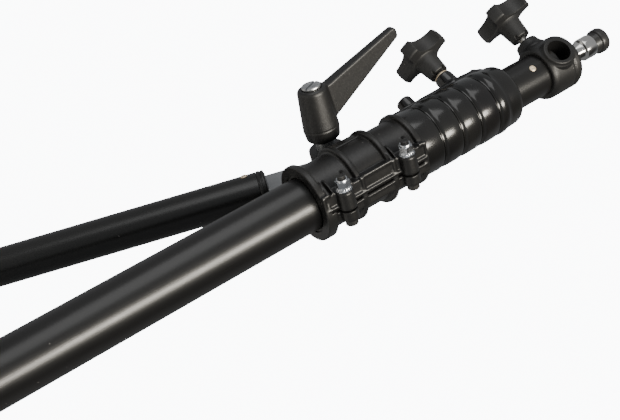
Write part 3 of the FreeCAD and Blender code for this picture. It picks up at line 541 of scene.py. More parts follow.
def lowerDetails():
    # webs beside the bolts' heads and the lower ear
    pieces = fieldBars(1.7, clamp["lugZ"] - 0.1, 0.7)
    web = [(13, 4), (13, 16.5), (17.5, 14.5), (23.9, 7.2), (23.9, 4)]
    for station in clamp["bolts"]:
        for offset in (7.4, -7.4):
            pieces.append(crosswise(plate(web, 1.8), station + offset))
    ear, top = clamp["ear"], clamp["tongueFoot"]
    pieces.append(cylinder((pivotX, top, pivotZ), yAxis, 7.8, ear))
    pieces.append(slab((pivotX - ear, top, 7.5), (pivotX + ear, top + 7.8, pivotZ)))
    return pieces


def clampHalf(upper):
    # the lugs stay a gap off the parting plane; the sleeves run a gap past it
    gap, far = clamp["gap"], 90
    if upper:
        sleeve = lathe(sleeveOutline(clamp["upperRim"]), 144)
        pieces = lugBlocks(-1, clamp["upperLug"], clamp["upperBoss"]) + upperDetails()
        otherHalf = slab((-far, gap, -far), (180, far, far))
        shell = carved(solved(sleeve, pieces[:-2], "UNION"), [otherHalf])
        # below the parting plane the ear keeps only what lies outside the sleeve
        inside = carved(cylinder((-far, 0, 0), xAxis, 270, clamp["rim"] + 0.2, steps=96),
                        [slab((-100, -far, -far), (190, -gap, far))])
        ear = carved(solved(pieces[-2], [pieces[-1]], "UNION"), [inside])
        body = cast([shell, ear], [], clamp["voxel"], 4)
    else:
        sleeve = lathe(sleeveOutline(clamp["lowerRim"]), 144)
        pieces = lugBlocks(1, clamp["lowerLug"], clamp["lowerBoss"]) + lowerDetails()
        otherHalf = slab((-far, -far, -far), (180, -gap, far))
        tongueRoom = slab((-far, clamp["tongueTop"], 20.8),
                          (180, clamp["tongueFoot"] - 0.05, far))
        shell = carved(solved(sleeve, pieces[:-2], "UNION"), [otherHalf, tongueRoom])
        body = cast([shell] + pieces[-2:], [], clamp["voxel"], 4)
    bores = [cylinder((-20, 0, 0), xAxis, 140, clamp["bore"], steps=128),
             cylinder((pivotX, -60, pivotZ), yAxis, 120, clamp["pivotHole"], steps=40)]
    bores += [cylinder((station, -60, clamp["boltZ"]), yAxis, 120, clamp["boltHole"], steps=32)
              for station in clamp["bolts"]]
    return carved(body, bores)


for upper, name in ((True, "clamp_upper_half"), (False, "clamp_lower_half")):
    finishPiece(clampHalf(upper), name + "_look", boomPlace, "clamp",
                finishes["casting"], [name])
print("clamp halves ready")

# flange nuts with a locking ring, plain washers and socket-head bolts
hardware = {
    "flats": 8.0, "nutHeight": 3.9, "nutEdge": 0.45, "flange": 5.0, "flangeHeight": 1.7,
    "serrations": 24, "nutSeat": -13.85, "washerSeat": -12.7, "washer": 5.15, "washerHeight": 1.1,
    "bolt": 2.5, "boltTip": -22.5, "threads": 7, "pitch": 0.5, "headAt": 30.5, "boltEnd": 34.1,
}


def hexPrism(acrossFlats, height, edge):
    # drawn about +z with its corners turned down like a real nut's
    corner = acrossFlats / math.sqrt(3)
    outline = [(corner * math.cos(math.pi / 3 * k), corner * math.sin(math.pi / 3 * k))
               for k in range(6)]
    prism = shifted(plate(outline, height), Matrix.Translation((0, 0, height / 2)))
    dome = lathe([(0, 0), (0, corner - edge), (edge * 0.6, corner), (height - edge * 0.6, corner),
                  (height, corner - edge), (height, 0)], 72, False, zAxis)
    return solved(prism, [dome], "INTERSECT")


def serratedFlange(radius, height):
    bm = lathe([(0, 0), (0, radius), (height * 0.35, radius), (height, radius * 0.8),
                (height, 0)], 96, False, zAxis)
    for vert in bm.verts:
        reach = Vector((vert.co.x, vert.co.y)).length
        if reach > radius * 0.95:
            angle = math.atan2(vert.co.y, vert.co.x)
            wave = 1 - 0.025 * (1 + math.cos(hardware["serrations"] * angle))
            vert.co.x *= wave
            vert.co.y *= wave
    return bm


def lockNut():
    bolt = hardware["bolt"]
    ring = lathe([(4.2, bolt), (4.2, 3.75), (6.1, 3.75), (6.6, 3.4), (6.7, 3.0), (6.5, bolt)],
                 64, True, zAxis)
    hexagon = hexPrism(hardware["flats"], hardware["nutHeight"], hardware["nutEdge"])
    return joined([serratedFlange(hardware["flange"], hardware["flangeHeight"]),
                   shifted(hexagon, Matrix.Translation((0, 0, 1.3))), ring])


def plainWasher():
    outer, height = hardware["washer"], hardware["washerHeight"]
    return lathe([(0, 2.7), (0, outer - 0.25), (0.2, outer), (height - 0.2, outer),
                  (height, outer - 0.25), (height, 2.7)], 64, True, zAxis)


def upright(station, y):
    # +z of the drawing points up at the clamp, away from the bolt's head
    return Matrix.Translation((station, y, clamp["boltZ"])) @ Matrix.Rotation(math.pi / 2, 4, "X")


def boltLook():
    # tip with a lead-in chamfer and turned thread at one end, socket head at the other
    bolt, pitch, headAt, end = (hardware[key] for key in ("bolt", "pitch", "headAt", "boltEnd"))
    outline = [(0, 0), (0, bolt - 0.35), (0.3, bolt)]
    for k in range(hardware["threads"]):
        outline += [(0.75 + k * pitch, bolt), (1.0 + k * pitch, bolt - 0.3)]
    outline += [(4.6, bolt - 0.05), (headAt, bolt - 0.05), (headAt, 4.0), (end - 0.5, 4.0),
                (end, 3.6), (end, 2.1), (end - 1.9, 2.05), (end - 1.9, 0)]
    return lathe(outline, 64, False, zAxis)


nutPieces, washerPieces, boltPieces = [], [], []
for index, station in enumerate(clamp["bolts"]):
    turn = Matrix.Rotation(0.35 + 0.7 * index, 4, "Z")
    nutPieces.append(shifted(lockNut(), upright(station, hardware["nutSeat"]) @ turn))
    washerPieces.append(shifted(plainWasher(), upright(station, hardware["washerSeat"])))
    tip = Matrix.Translation((station, hardware["boltTip"], clamp["boltZ"]))
    boltPieces.append(shifted(boltLook(), tip @ Matrix.Rotation(-math.pi / 2, 4, "X")))
finishPiece(joined(nutPieces), "clampNutsLook", boomPlace, "clamp",
            finishes["zinc"], ["clamp_nuts"])
finishPiece(joined(washerPieces), "clampWashersLook", boomPlace, "clamp",
            finishes["zinc"], ["clamp_washers"])
finishPiece(joined(boltPieces), "clampBoltsLook", boomPlace, "clamp",
            finishes["darkSteel"], ["clamp_bolts"])
print("clamp hardware ready")

# height-adjusting lever: a two-part hub with a blade
lever = {
    "bottom": -16.0, "bandTop": 8.0, "bandFoot": 11.1, "base": 12.05, "top": 9.9, "height": 35.5,
    "seat": 6.75, "shoulder": (20.5, 23.5), "screwHole": 2.65, "springRoom": 6.6, "blend": 8.4,
    "tip": 116.0, "tipTop": -64.5, "rootWidth": 8.4, "tipWidth": 6.0, "voxel": 0.42,
    "screwSeat": -50.9, "screw": 2.5, "screwHead": 6.35, "slot": 1.5,
}


def pivotUp(y):
    # +z of the drawing points up along the pivot bolt
    return Matrix.Translation((pivotX, y, pivotZ)) @ Matrix.Rotation(math.pi / 2, 4, "X")


def leverHub():
    low, high = lever["shoulder"]
    height, band, base, top = lever["height"], lever["bandTop"], lever["base"], lever["top"]
    return lathe([(0, lever["seat"]), (0, lever["bandFoot"] - 0.5), (0.5, lever["bandFoot"]),
                  (band - 0.5, base), (band - 0.1, base - 0.15), (band, base - 0.5),
                  (band + 0.5, base - 0.5), (band + 0.7, base - 0.15), (height - 2.2, top),
                  (height - 0.9, top - 0.6), (height - 0.1, top - 1.9), (height, top - 2.5),
                  (height, lever["springRoom"]), (high, lever["springRoom"]),
                  (high, lever["screwHole"]), (low, lever["screwHole"]),
                  (low, lever["seat"])], 96, True, zAxis)


def leverBlade():
    tip, top = lever["tip"], lever["tipTop"]
    side = [(pivotX + 6, -25.2), (pivotX + 11.5, -27.0), (pivotX + 15.5, -29.0),
            (tip - 1.0, top + 7.4), (tip - 0.1, top + 6.2), (tip - 0.5, top + 2.2),
            (tip - 1.6, top + 0.5), (tip - 3.2, top), (tip - 5.0, top + 0.4),
            (pivotX + 17, -51.4), (pivotX + 12.5, -50.1), (pivotX + 9.3, -49.6),
            (pivotX + 6, -49.6)]
    blade = plate(side, lever["rootWidth"])
    taperStart, narrowing = pivotX + 12, 1 - lever["tipWidth"] / lever["rootWidth"]
    for vert in blade.verts:
        reach = min(max((vert.co.x - taperStart) / (tip - taperStart), 0), 1)
        vert.co.z *= 1 - narrowing * reach
    softenEdges(blade, 1.0, 3, 40)
    return shifted(blade, Matrix.Translation((0, 0, pivotZ)))


def slottedScrew():
    shank, headRadius = lever["screw"], lever["screwHead"]
    screw = lathe([(-14.0, 0), (-14.0, shank), (0.0, shank), (0.0, headRadius - 0.35),
                   (0.5, headRadius), (1.7, headRadius), (2.15, headRadius - 0.25), (2.4, 5.4),
                   (2.45, 3.6), (2.2, 3.2), (2.2, 0)], 72, False, zAxis)
    return carved(screw, [slab((-8, -lever["slot"] / 2, 1.3), (8, lever["slot"] / 2, 4))])


hub = shifted(leverHub(), pivotUp(lever["bottom"]))
hubCore = cylinder((pivotX, 0, pivotZ), (0, -1, 0), 80, lever["blend"], steps=64)
finishPiece(cast([hub, carved(leverBlade(), [hubCore])], [], lever["voxel"], 3), "leverLook",
            boomPlace, "lever_handle", finishes["lever"], ["lever_handle"])
finishPiece(shifted(slottedScrew(), pivotUp(lever["screwSeat"]) @ Matrix.Rotation(0.5, 4, "Z")),
            "leverScrewLook", boomPlace, "lever_core", finishes["screwTop"],
            ["lever_screw"])
print("lever ready")

# lock collar on the boom tube's mouth: banded barrel with a spine along its back
collar = {
    "start": 82.7, "end": 167.2, "seat": 150.1, "bore": 17.6, "bushBore": 17.5, "band": 22.5,
    "grooves": (98.4, 114.3, 129.8, 145.8), "bandEnd": 152.0, "spine": 28.0, "spineWidth": 15.0,
    "knobStation": 143.0, "knobSeat": 34.0, "screwStation": 106.5, "screwSeat": 32.0,
    "screwHole": 2.6, "spineFoot": 19.2, "voxel": 0.4, "leaf": (5.0, 2.0, 1.0),
}


def collarOutline():
    start, end, band = collar["start"], collar["end"], collar["band"]
    points = [(start, 18.6), (start, band - 1.0), (start + 0.5, band - 0.5)]
    for station in collar["grooves"]:
        # a groove with a fine bead in it, then a fuller band
        points += [(station - 2.6, band - 0.1), (station - 1.7, band - 0.35),
                   (station - 1.2, band - 1.1), (station - 0.8, band - 1.1),
                   (station - 0.5, band - 0.55), (station + 0.1, band - 0.4),
                   (station + 0.5, band - 0.9), (station + 1.1, band - 1.15),
                   (station + 1.9, band - 0.6), (station + 2.8, band - 0.15),
                   (station + 4.0, band), (station + 9.0, band)]
    points = [point for point in points if point[0] < collar["bandEnd"]]
    points += [(152.6, 22.4), (153.6, 22.0), (154.2, 21.6), (156.6, 21.5), (163.8, 21.1),
               (165.8, 20.5), (166.8, 19.7), (end, 18.9), (end, collar["bushBore"]),
               (collar["seat"], collar["bushBore"]), (collar["seat"], collar["bore"]),
               (start, collar["bore"])]
    return points


def spineShape():
    # profile along the boom, raised from the barrel towards the mouth
    start, end = collar["start"], collar["end"]
    side = [(start + 1.0, 14), (start + 1.0, 22.8), (start + 2.5, 23.5), (end - 20, 24.6),
            (end - 7.5, 24.8), (end - 5.4, 24.2), (end - 2.6, 21.4), (end - 1.2, 19.2),
            (end - 1.2, 14)]
    fin = plate(side, collar["spineWidth"])
    fin.transform(Matrix.Rotation(math.pi / 2, 4, "X"))
    for vert in fin.verts:
        vert.co.y *= 1.35 if vert.co.z < 20 else 0.86
    return softenEdges(fin, 1.2, 3, 35)


def onSpine(bm, station=0.0):
    return shifted(bm, outward(station, collar["spine"]))


def leafRecess(station, side):
    # hollow beside the spine at each band
    hollow = bmesh.new()
    bmesh.ops.create_uvsphere(hollow, u_segments=32, v_segments=16, radius=1)
    hollow.transform(Matrix.Translation((station, side * 10.4, 22.6)) @
                     Matrix.Rotation(side * math.radians(24), 4, "X") @
                     Matrix.Diagonal((*collar["leaf"], 1)))
    return onSpine(hollow)


def lockCollar():
    knob, screw = collar["knobSeat"], collar["screwSeat"]
    knobBoss = lathe([(15, 0), (15, 7.2), (24.2, 7.2), (26, 6.7), (knob - 0.8, 6.5),
                      (knob - 0.1, 6.0), (knob, 5.6), (knob, 0)], 64, False, zAxis)
    screwBoss = lathe([(15, 0), (15, 6.0), (screw - 1.4, 5.7), (screw - 0.3, 5.2), (screw, 4.6),
                       (screw, 0)], 64, False, zAxis)
    raised = [onSpine(spineShape()), onSpine(knobBoss, collar["knobStation"]),
              onSpine(screwBoss, collar["screwStation"])]
    barrelRoom = cylinder((60, 0, 0), xAxis, 120, collar["spineFoot"], steps=128)
    spine = carved(cast(raised, [], collar["voxel"], 5), [barrelRoom])
    body = solved(lathe(collarOutline(), 160, True), [spine], "UNION")
    cuts = [leafRecess(station + 6.2, side) for station in collar["grooves"][:3]
            for side in (-1, 1)]
    knobAt, screwAt = collar["knobStation"], collar["screwStation"]
    for station, depth, radius in ((knobAt, 60, studHole), (knobAt, 19.4, padRoom),
                                   (screwAt, 60, collar["screwHole"])):
        cuts.append(onSpine(cylinder((station, 0, 0), zAxis, depth, radius, steps=40)))
    return carved(body, cuts)


finishPiece(lockCollar(), "boomCollarLook", boomPlace, "boom",
            finishes["collar"], ["boom_collar"])
seat = collar["knobSeat"]
ring = lathe([(seat - 0.1, 3.2), (seat - 0.1, 5.7), (seat + 0.5, 5.9), (seat + 0.9, 5.6),
              (seat + 0.9, 3.2)], 64, True, zAxis)
finishPiece(onSpine(ring, collar["knobStation"]), "knobSeatRing", boomPlace, "boom",
            finishes["brass"])
print("collar ready")

# four-lobed star knobs with a threaded stud
star = {"radius": 20.0, "hollow": 12.0, "hollowAt": 23.0, "thickness": 12.0, "neck": 8.5,
        "neckLength": 15.0, "stud": 3.0, "pitch": 1.0, "slits": 5, "padStack": 4.4,
        "voxel": 0.42}


def starKnob():
    radius, neck, low = star["radius"], star["neck"], star["neckLength"]
    high = low + star["thickness"]
    crown = lathe([(low, 0), (low, radius - 1.1), (low + 1.2, radius - 0.2), (low + 6, radius),
                   (high - 2.2, radius - 0.4), (high - 0.9, radius - 1.6), (high - 0.3, 13.0),
                   (high, 6.0), (high, 0)], 96, False, zAxis)
    hollows = []
    for quarter in range(4):
        turn = Matrix.Rotation(quarter * math.pi / 2, 3, "Z")
        place = turn @ Vector((star["hollowAt"], 0, low - 5))
        hollows.append(cylinder(place, zAxis, 30, star["hollow"], steps=64))
    stem = lathe([(0, 0), (0, 6.6), (0.6, 7.1), (2.6, 7.25), (9, 7.9), (low - 2, neck),
                  (low, neck + 0.8), (low + 3, neck + 1.4), (low + 3, 0)], 72, False, zAxis)
    slits = []
    for index in range(star["slits"]):
        turn = Matrix.Rotation(2 * math.pi * index / star["slits"], 4, "Z")
        slits.append(shifted(slab((4.2, -0.75, -1), (9.5, 0.75, 2.4)), turn))
    body = cast([carved(stem, slits), carved(crown, hollows)], [], star["voxel"], 4)
    return carved(body, [cylinder((0, 0, -2), zAxis, low + 2, star["stud"] + 0.1, steps=40)])


def threadedStud(start, end):
    # rolled thread as a row of fine rings
    radius, pitch = star["stud"], star["pitch"]
    outline = [(start, 0), (start, radius - 0.5), (start + 0.4, radius - 0.1)]
    for index in range(int((end - start - 1.2) / pitch)):
        base = start + 0.6 + index * pitch
        outline += [(base, radius), (base + 0.25, radius), (base + 0.5, radius - 0.42),
                    (base + 0.7, radius - 0.42)]
    outline += [(end - 0.3, radius - 0.1), (end, radius - 0.4), (end, 0)]
    return lathe(outline, 40, False, zAxis)


def knobAndStud(name, place, wholePlace, body, rubRadius, reach):
    # rubRadius is the tube that the knob locks, reach is from its axis to the knob's middle
    base = reach - star["neckLength"] - star["thickness"] / 2
    knob = shifted(starKnob(), place @ Matrix.Translation((0, 0, base)))
    finishPiece(knob, name + "Look", wholePlace, body, finishes["knob"], [name])
    studEnd = base + star["neckLength"] - 0.1
    stud = shifted(threadedStud(rubRadius + star["padStack"], studEnd), place)
    finishPiece(stud, name + "StudLook", wholePlace, body, finishes["stud"],
                [name + "_stud"])


# head: short barrel with a cross socket and a knob boss
head = {
    "start": 198.0, "end": 226.0, "radius": 19.0, "centre": 210.2, "groove": 217.6,
    "socket": 126.5, "bore": 8.1, "rim": 10.9, "rimReach": 20.5, "knob": 36.5, "bossTop": 25.0,
    "knobReach": 50.0, "tubeRoom": 15.1, "plug": 13.4, "seat": 210.7, "spigotHole": 5.1,
    "voxel": 0.45,
}
knobAndStud("boom_knob", outward(collar["knobStation"], collar["spine"]), boomPlace, "boom_knob",
            tubes["middle"], 58.0)
knobAndStud("head_knob", outward(head["centre"], head["knob"]), boomPlace, "head_knob",
            head["bore"], head["knobReach"])
print("boom knobs ready")


def headCasting():
    start, end, radius, groove = head["start"], head["end"], head["radius"], head["groove"]
    pieces = [lathe([(start, 0), (start, radius - 1.8), (start + 0.5, radius - 1.1),
                     (start + 2.2, radius - 0.2), (start + 4, radius), (groove - 1.4, radius),
                     (groove - 0.6, radius - 0.4), (groove - 0.3, radius - 0.8),
                     (groove + 0.3, radius - 0.8), (groove + 0.7, radius - 0.3),
                     (groove + 1.4, radius), (end - 3.7, radius - 0.1), (end - 1.7, radius - 1),
                     (end - 0.5, radius - 2.6), (end, radius - 4), (end, 0)], 144)]
    rim, reach = head["rim"], head["rimReach"]
    for angle in (head["socket"], head["socket"] + 180):
        rimShape = lathe([(0, 0), (0, rim + 1.5), (17.5, rim + 1.1), (18.4, rim + 0.4),
                          (19.2, rim), (reach - 0.5, rim - 0.1), (reach, rim - 0.6),
                          (reach, 0)], 72, False, zAxis)
        pieces.append(shifted(rimShape, outward(head["centre"], angle)))
    top = head["bossTop"]
    boss = lathe([(0, 0), (0, 11.6), (17.5, 10.6), (19.5, 9.3), (22.5, 8.4), (top - 0.8, 8.0),
                  (top - 0.1, 7.2), (top, 6.4), (top, 0)], 72, False, zAxis)
    pieces.append(shifted(boss, outward(head["centre"], head["knob"])))
    crossBore = shifted(cylinder((0, 0, -40), zAxis, 80, head["bore"], steps=96),
                        outward(head["centre"], head["socket"]))
    studBore = shifted(cylinder((0, 0, 0), zAxis, 60, studHole, steps=40),
                       outward(head["centre"], head["knob"]))
    tubeRoom = carved(cylinder((190, 0, 0), xAxis, head["seat"] - 190, head["tubeRoom"], steps=96),
                      [cylinder((197, 0, 0), xAxis, head["seat"] - 197, head["plug"], steps=96)])
    spigotRoom = cylinder((219, 0, 0), xAxis, 20, head["spigotHole"], steps=48)
    return carved(cast(pieces, [], head["voxel"], 3), [crossBore, studBore, tubeRoom, spigotRoom])


finishPiece(headCasting(), "headLook", boomPlace, "boom_extension",
            finishes["head"], ["head_casting"])

# turned spigot on the head's end, with a black cap
spigot = {"root": 219.1, "rootRadius": 5.0, "neck": 5.8, "shoulder": 241.0, "pin": 7.94,
          "end": 251.0, "tenon": 4.0, "tenonEnd": 255.4, "capEnd": 262.3, "flange": 7.45,
          "cap": 8.9}
base, shoulder, end = head["end"], spigot["shoulder"], spigot["end"]
neck, pin, tenon = spigot["neck"], spigot["pin"], spigot["tenon"]
spigotOutline = [(spigot["root"], 0), (spigot["root"], spigot["rootRadius"]),
                 (base, spigot["rootRadius"]), (base, neck), (base + 0.6, neck + 0.15),
                 (base + 1.2, neck), (shoulder - 1.2, neck), (shoulder - 0.4, neck + 0.5),
                 (shoulder, neck + 1.4), (shoulder + 0.6, pin - 0.14), (shoulder + 1.1, pin),
                 (end - 1.1, pin), (end - 0.4, pin - 0.19), (end, pin - 0.64), (end, tenon),
                 (spigot["tenonEnd"], tenon), (spigot["tenonEnd"], 0)]
finishPiece(lathe(spigotOutline, 96), "spigotLook", boomPlace, "boom_extension",
            finishes["chrome"], ["spigot"])
socketEnd, capEnd, cap = spigot["tenonEnd"] + 0.15, spigot["capEnd"], spigot["cap"]
capOutline = [(end + 0.05, tenon + 0.1), (end + 0.05, spigot["flange"] - 0.25),
              (end + 0.5, spigot["flange"]), (254.6, cap - 1.6), (255.4, cap - 1.3),
              (255.6, cap - 0.6), (256.1, cap - 0.15), (257.0, cap), (capEnd - 1.7, cap),
              (capEnd - 0.6, cap - 0.4), (capEnd, cap - 1.3), (capEnd + 0.15, 6.0),
              (capEnd + 0.1, 2.0), (capEnd, 0), (socketEnd, 0), (socketEnd, tenon + 0.1)]
finishPiece(lathe(capOutline, 96), "spigotCapLook", boomPlace, "boom_extension",
            finishes["cap"], ["spigot_cap"])
print("head ready")

# stand tubes, each sliding in the next, and the cap on the top one
stand = {"topStart": 591.0, "topEnd": 1201.0, "middleStart": 246.0, "middleEnd": 866.0,
         "columnStart": 104.0, "columnEnd": 744.0}
for size, part, body, name, node in (
        ("small", "top", "top_riser", "topTubeLook", "top_tube"),
        ("middle", "middle", "middle_riser", "middleTubeLook", "middle_tube"),
        ("large", "column", "base", "columnTubeLook", "column_tube")):
    finishPiece(tubeShape(stand[part + "Start"], stand[part + "End"], tubes[size], zAxis), name,
                standPlace, body, finishes["standTube"], [node])

# riser: cap ring, the tongue that the clamp's ears hold and its cross rivet
riser = {"cap": 12.8, "capBore": 11.0, "tongueFoot": 1206.0, "eye": 1250.0, "tongue": 11.0,
         "tongueThickness": 8.0, "bolt": 4.1, "plug": 10.9, "plugFoot": 1167.0,
         "rivetHeight": 1193.0, "rivetAngle": -7.0, "voxel": 0.35}
capFoot, capRadius, capBore = stand["topEnd"] + 0.1, riser["cap"], riser["capBore"]
capRing = lathe([(capFoot, capBore), (capFoot, capRadius - 0.3), (capFoot + 0.5, capRadius),
                 (capFoot + 2.0, capRadius), (capFoot + 2.4, capRadius - 0.5),
                 (capFoot + 2.9, capRadius - 0.5), (capFoot + 3.2, capRadius - 0.1),
                 (capFoot + 4.2, capRadius - 0.2), (capFoot + 4.8, capRadius - 0.7),
                 (capFoot + 5.0, capBore + 0.4), (capFoot + 5.0, capBore)], 128, True, zAxis)
finishPiece(capRing, "riserCapLook", standPlace, "top_riser",
            finishes["casting"], ["riser_cap"])
uprightPlate = Matrix.Rotation(math.pi / 2, 4, "X")


def tongueShape():
    foot, half = riser["tongueFoot"], riser["tongue"]
    centre = riser["eye"] - foot
    outline = [(-half, 0.3), (half, 0.3)]
    for step in range(25):
        angle = math.pi * step / 24
        outline.append((half * math.cos(angle), centre + half * math.sin(angle)))
    return shifted(plate(outline, riser["tongueThickness"]),
                   Matrix.Translation((0, 0, foot)) @ uprightPlate)


plugFoot, plugRadius, tubeTop, foot = (riser["plugFoot"], riser["plug"], stand["topEnd"],
                                       riser["tongueFoot"])
plug = lathe([(plugFoot, 0), (plugFoot, plugRadius - 0.6), (plugFoot + 0.6, plugRadius),
              (tubeTop - 0.1, plugRadius), (tubeTop, plugRadius), (foot + 0.2, plugRadius - 0.05),
              (foot + 0.6, plugRadius - 0.5), (foot + 0.6, 0)], 96, False, zAxis)
pivotBolt = cylinder((0, -30, riser["eye"]), yAxis, 60, riser["bolt"], steps=48)
finishPiece(carved(cast([tongueShape(), plug], [], riser["voxel"], 3), [pivotBolt]),
            "riserTongueLook", standPlace, "top_riser", finishes["greySteel"],
            ["riser_tongue"])
rivetPlace = (Matrix.Translation((0, 0, riser["rivetHeight"])) @
              Matrix.Rotation(math.radians(riser["rivetAngle"]), 4, "Z") @ uprightPlate)
finishPiece(shifted(rivetShape(tubes["small"]), rivetPlace), "riserRivetLook", standPlace,
            "top_riser", finishes["brass"], ["riser_rivet"])
print("riser ready")

# banded lock collars of the risers, each with a knob boss towards -x
riserLock = {"height": 46.0, "below": 0.55, "knobAbove": 0.2, "wall": 4.5, "bands": (9.0, 19.5),
             "bossReach": 7.0, "voxel": 0.5}


def riserCollar(name, body, outerTube, innerTube, tubeTop):
    height, outer = riserLock["height"], outerTube + riserLock["wall"]
    low = tubeTop - height * riserLock["below"]
    outline = [(low, 0), (low, outer - 1.6), (low + 0.7, outer - 0.5), (low + 2.0, outer)]
    for centre in (low + band for band in riserLock["bands"]):
        outline += [(centre - 3.2, outer), (centre - 2.6, outer - 0.7), (centre - 1.8, outer - 0.7),
                    (centre - 1.2, outer), (centre + 1.8, outer), (centre + 2.4, outer - 0.6)]
    outline += [(low + 25.5, outer - 0.6), (low + 27.0, outer), (low + height - 5.0, outer),
                (low + height - 3.2, outer - 0.6), (low + height - 1.4, outer - 1.8),
                (low + height, innerTube + 1.6), (low + height, 0)]
    knobHeight, bossTop = tubeTop + height * riserLock["knobAbove"], outer + riserLock["bossReach"]
    side = Matrix.Translation((0, 0, knobHeight)) @ Matrix.Rotation(-math.pi / 2, 4, "Y")
    boss = lathe([(8, 0), (8, 9.4), (outer - 0.5, 9.0), (outer + 1.5, 8.1), (bossTop - 1.1, 7.9),
                  (bossTop - 0.2, 7.1), (bossTop, 6.4), (bossTop, 0)], 72, False, zAxis)
    shape = cast([lathe(outline, 128, False, zAxis), shifted(boss, side)], [],
                 riserLock["voxel"], 3)
    cutters = [cylinder((0, 0, low - 5), zAxis, tubeTop - low + 5.1, outerTube + 0.1, steps=128),
               cylinder((0, 0, low), zAxis, 2 * height, innerTube + 0.3, steps=128),
               shifted(cylinder((0, 0, 0), zAxis, innerTube + 4.5, padRoom, steps=48), side),
               shifted(cylinder((0, 0, 0), zAxis, 60, studHole, steps=40), side)]
    finishPiece(carved(shape, cutters), name + "Look", standPlace, body,
                finishes["casting"], [name])
    return side


middleSide = riserCollar("middle_collar", "middle_riser", tubes["middle"], tubes["small"],
                         stand["middleEnd"])
columnSide = riserCollar("column_collar", "base", tubes["large"], tubes["middle"],
                         stand["columnEnd"])
knobAndStud("middle_knob", middleSide, standPlace, "middle_knob", tubes["small"], 52.0)
knobAndStud("column_knob", columnSide, standPlace, "column_knob", tubes["middle"], 54.5)
print("riser collars ready")

# legs: a cast hub ring with a socket and webs, a bent tube and a rubber boot
legs = {
    "radius": 12.5, "wall": 1.5, "hub": 24.5, "height": 32.0, "levels": (126.2, 161.6, 197.0),
    "socket": 15.7, "socketEnd": 54.5, "web": 5.0, "columnRoom": 17.8, "tubeStart": 24.7,
    "slope": math.radians(38.0), "foot": 400.0, "bend": 90.0, "bendSteps": 24, "end": 15.0,
    "boot": 15.7, "bootLength": 30.0, "bootRibs": (5, 10, 15, 20), "floorGap": 0.02,
    "voxel": 0.55,
}


def legTurn(level):
    return Matrix.Rotation(math.radians(120 * level), 4, "Z")


def legHub(level):
    middle, half, outer = legs["levels"][level], legs["height"] / 2, legs["hub"]
    ringShape = lathe([(middle - half, 0), (middle - half, outer - 1.4),
                       (middle - half + 1.4, outer), (middle - 9, outer),
                       (middle - 8.4, outer - 0.5), (middle + 8.4, outer - 0.5),
                       (middle + 9, outer), (middle + half - 1.4, outer),
                       (middle + half, outer - 1.4), (middle + half, 0)], 128, False, zAxis)
    wide, end = legs["socket"], legs["socketEnd"]
    socket = lathe([(10, 0), (10, wide), (end - 6.0, wide), (end - 5.5, wide - 0.6),
                    (end - 4.5, wide - 0.6), (end - 4.0, wide), (end - 1.2, wide),
                    (end, wide - 1.2), (end, 0)], 96)
    socket.transform(Matrix.Translation((0, 0, middle)))
    web = plate([(18, -14.6), (24, -15.6), (46, -15.6), (50, -14.2), (50, 14.2), (46, 15.6),
                 (24, 15.6), (18, 14.6)], legs["web"])
    web.transform(Matrix.Translation((0, 0, middle)) @ uprightPlate)
    shape = cast([ringShape, socket, web], [], legs["voxel"], 3)
    cutters = [cylinder((0, 0, middle - 40), zAxis, 80, legs["columnRoom"], steps=128),
               cylinder((legs["tubeStart"] - 0.1, 0, middle), xAxis, 60, legs["radius"] + 0.1,
                        steps=96)]
    return shifted(carved(shape, cutters), legTurn(level))


def endRing(bm, made):
    # what an operator just made at the open end: its points and the edges between them
    verts = [item for item in made if isinstance(item, bmesh.types.BMVert)]
    chosen = set(verts)
    edges = [edge for edge in bm.edges if edge.verts[0] in chosen and edge.verts[1] in chosen]
    return verts, edges


def legTube(level):
    # outer and inner skins drawn level out, round the bend and straight down to the foot
    slope, bend, high = legs["slope"], legs["bend"], legs["levels"][level]
    fall = high - bend * (1 - math.cos(slope)) - legs["end"]
    bendStart = legs["foot"] - fall / math.tan(slope) - bend * math.sin(slope)
    bendEnd = Vector((bendStart + bend * math.sin(slope), 0, legs["end"] + fall))
    footEnd = Vector((legs["foot"], 0, legs["end"]))
    place = Matrix.Translation((legs["tubeStart"], 0, high)) @ Matrix.Rotation(math.pi / 2, 4, "Y")
    bm = bmesh.new()
    for radius in (legs["radius"], legs["radius"] - legs["wall"]):
        made = bmesh.ops.create_circle(bm, segments=96, radius=radius, matrix=place)["verts"]
        for travel in (Vector((bendStart - legs["tubeStart"], 0, 0)), footEnd - bendEnd):
            verts, edges = endRing(bm, made)
            grown = bmesh.ops.extrude_edge_only(bm, edges=edges)["geom"]
            verts, edges = endRing(bm, grown)
            bmesh.ops.translate(bm, vec=travel, verts=verts)
            if travel.z == 0:
                made = bmesh.ops.spin(bm, geom=verts + edges, cent=(bendStart, 0, high - bend),
                                      axis=yAxis, angle=slope, steps=legs["bendSteps"])["geom_last"]
    rims = [edge for edge in bm.edges if edge.is_boundary]
    for atFoot in (False, True):
        pair = [edge for edge in rims if (edge.verts[0].co.x > bendStart) == atFoot]
        bmesh.ops.bridge_loops(bm, edges=pair)
    bmesh.ops.recalc_face_normals(bm, faces=bm.faces[:])
    return shifted(bm, legTurn(level))


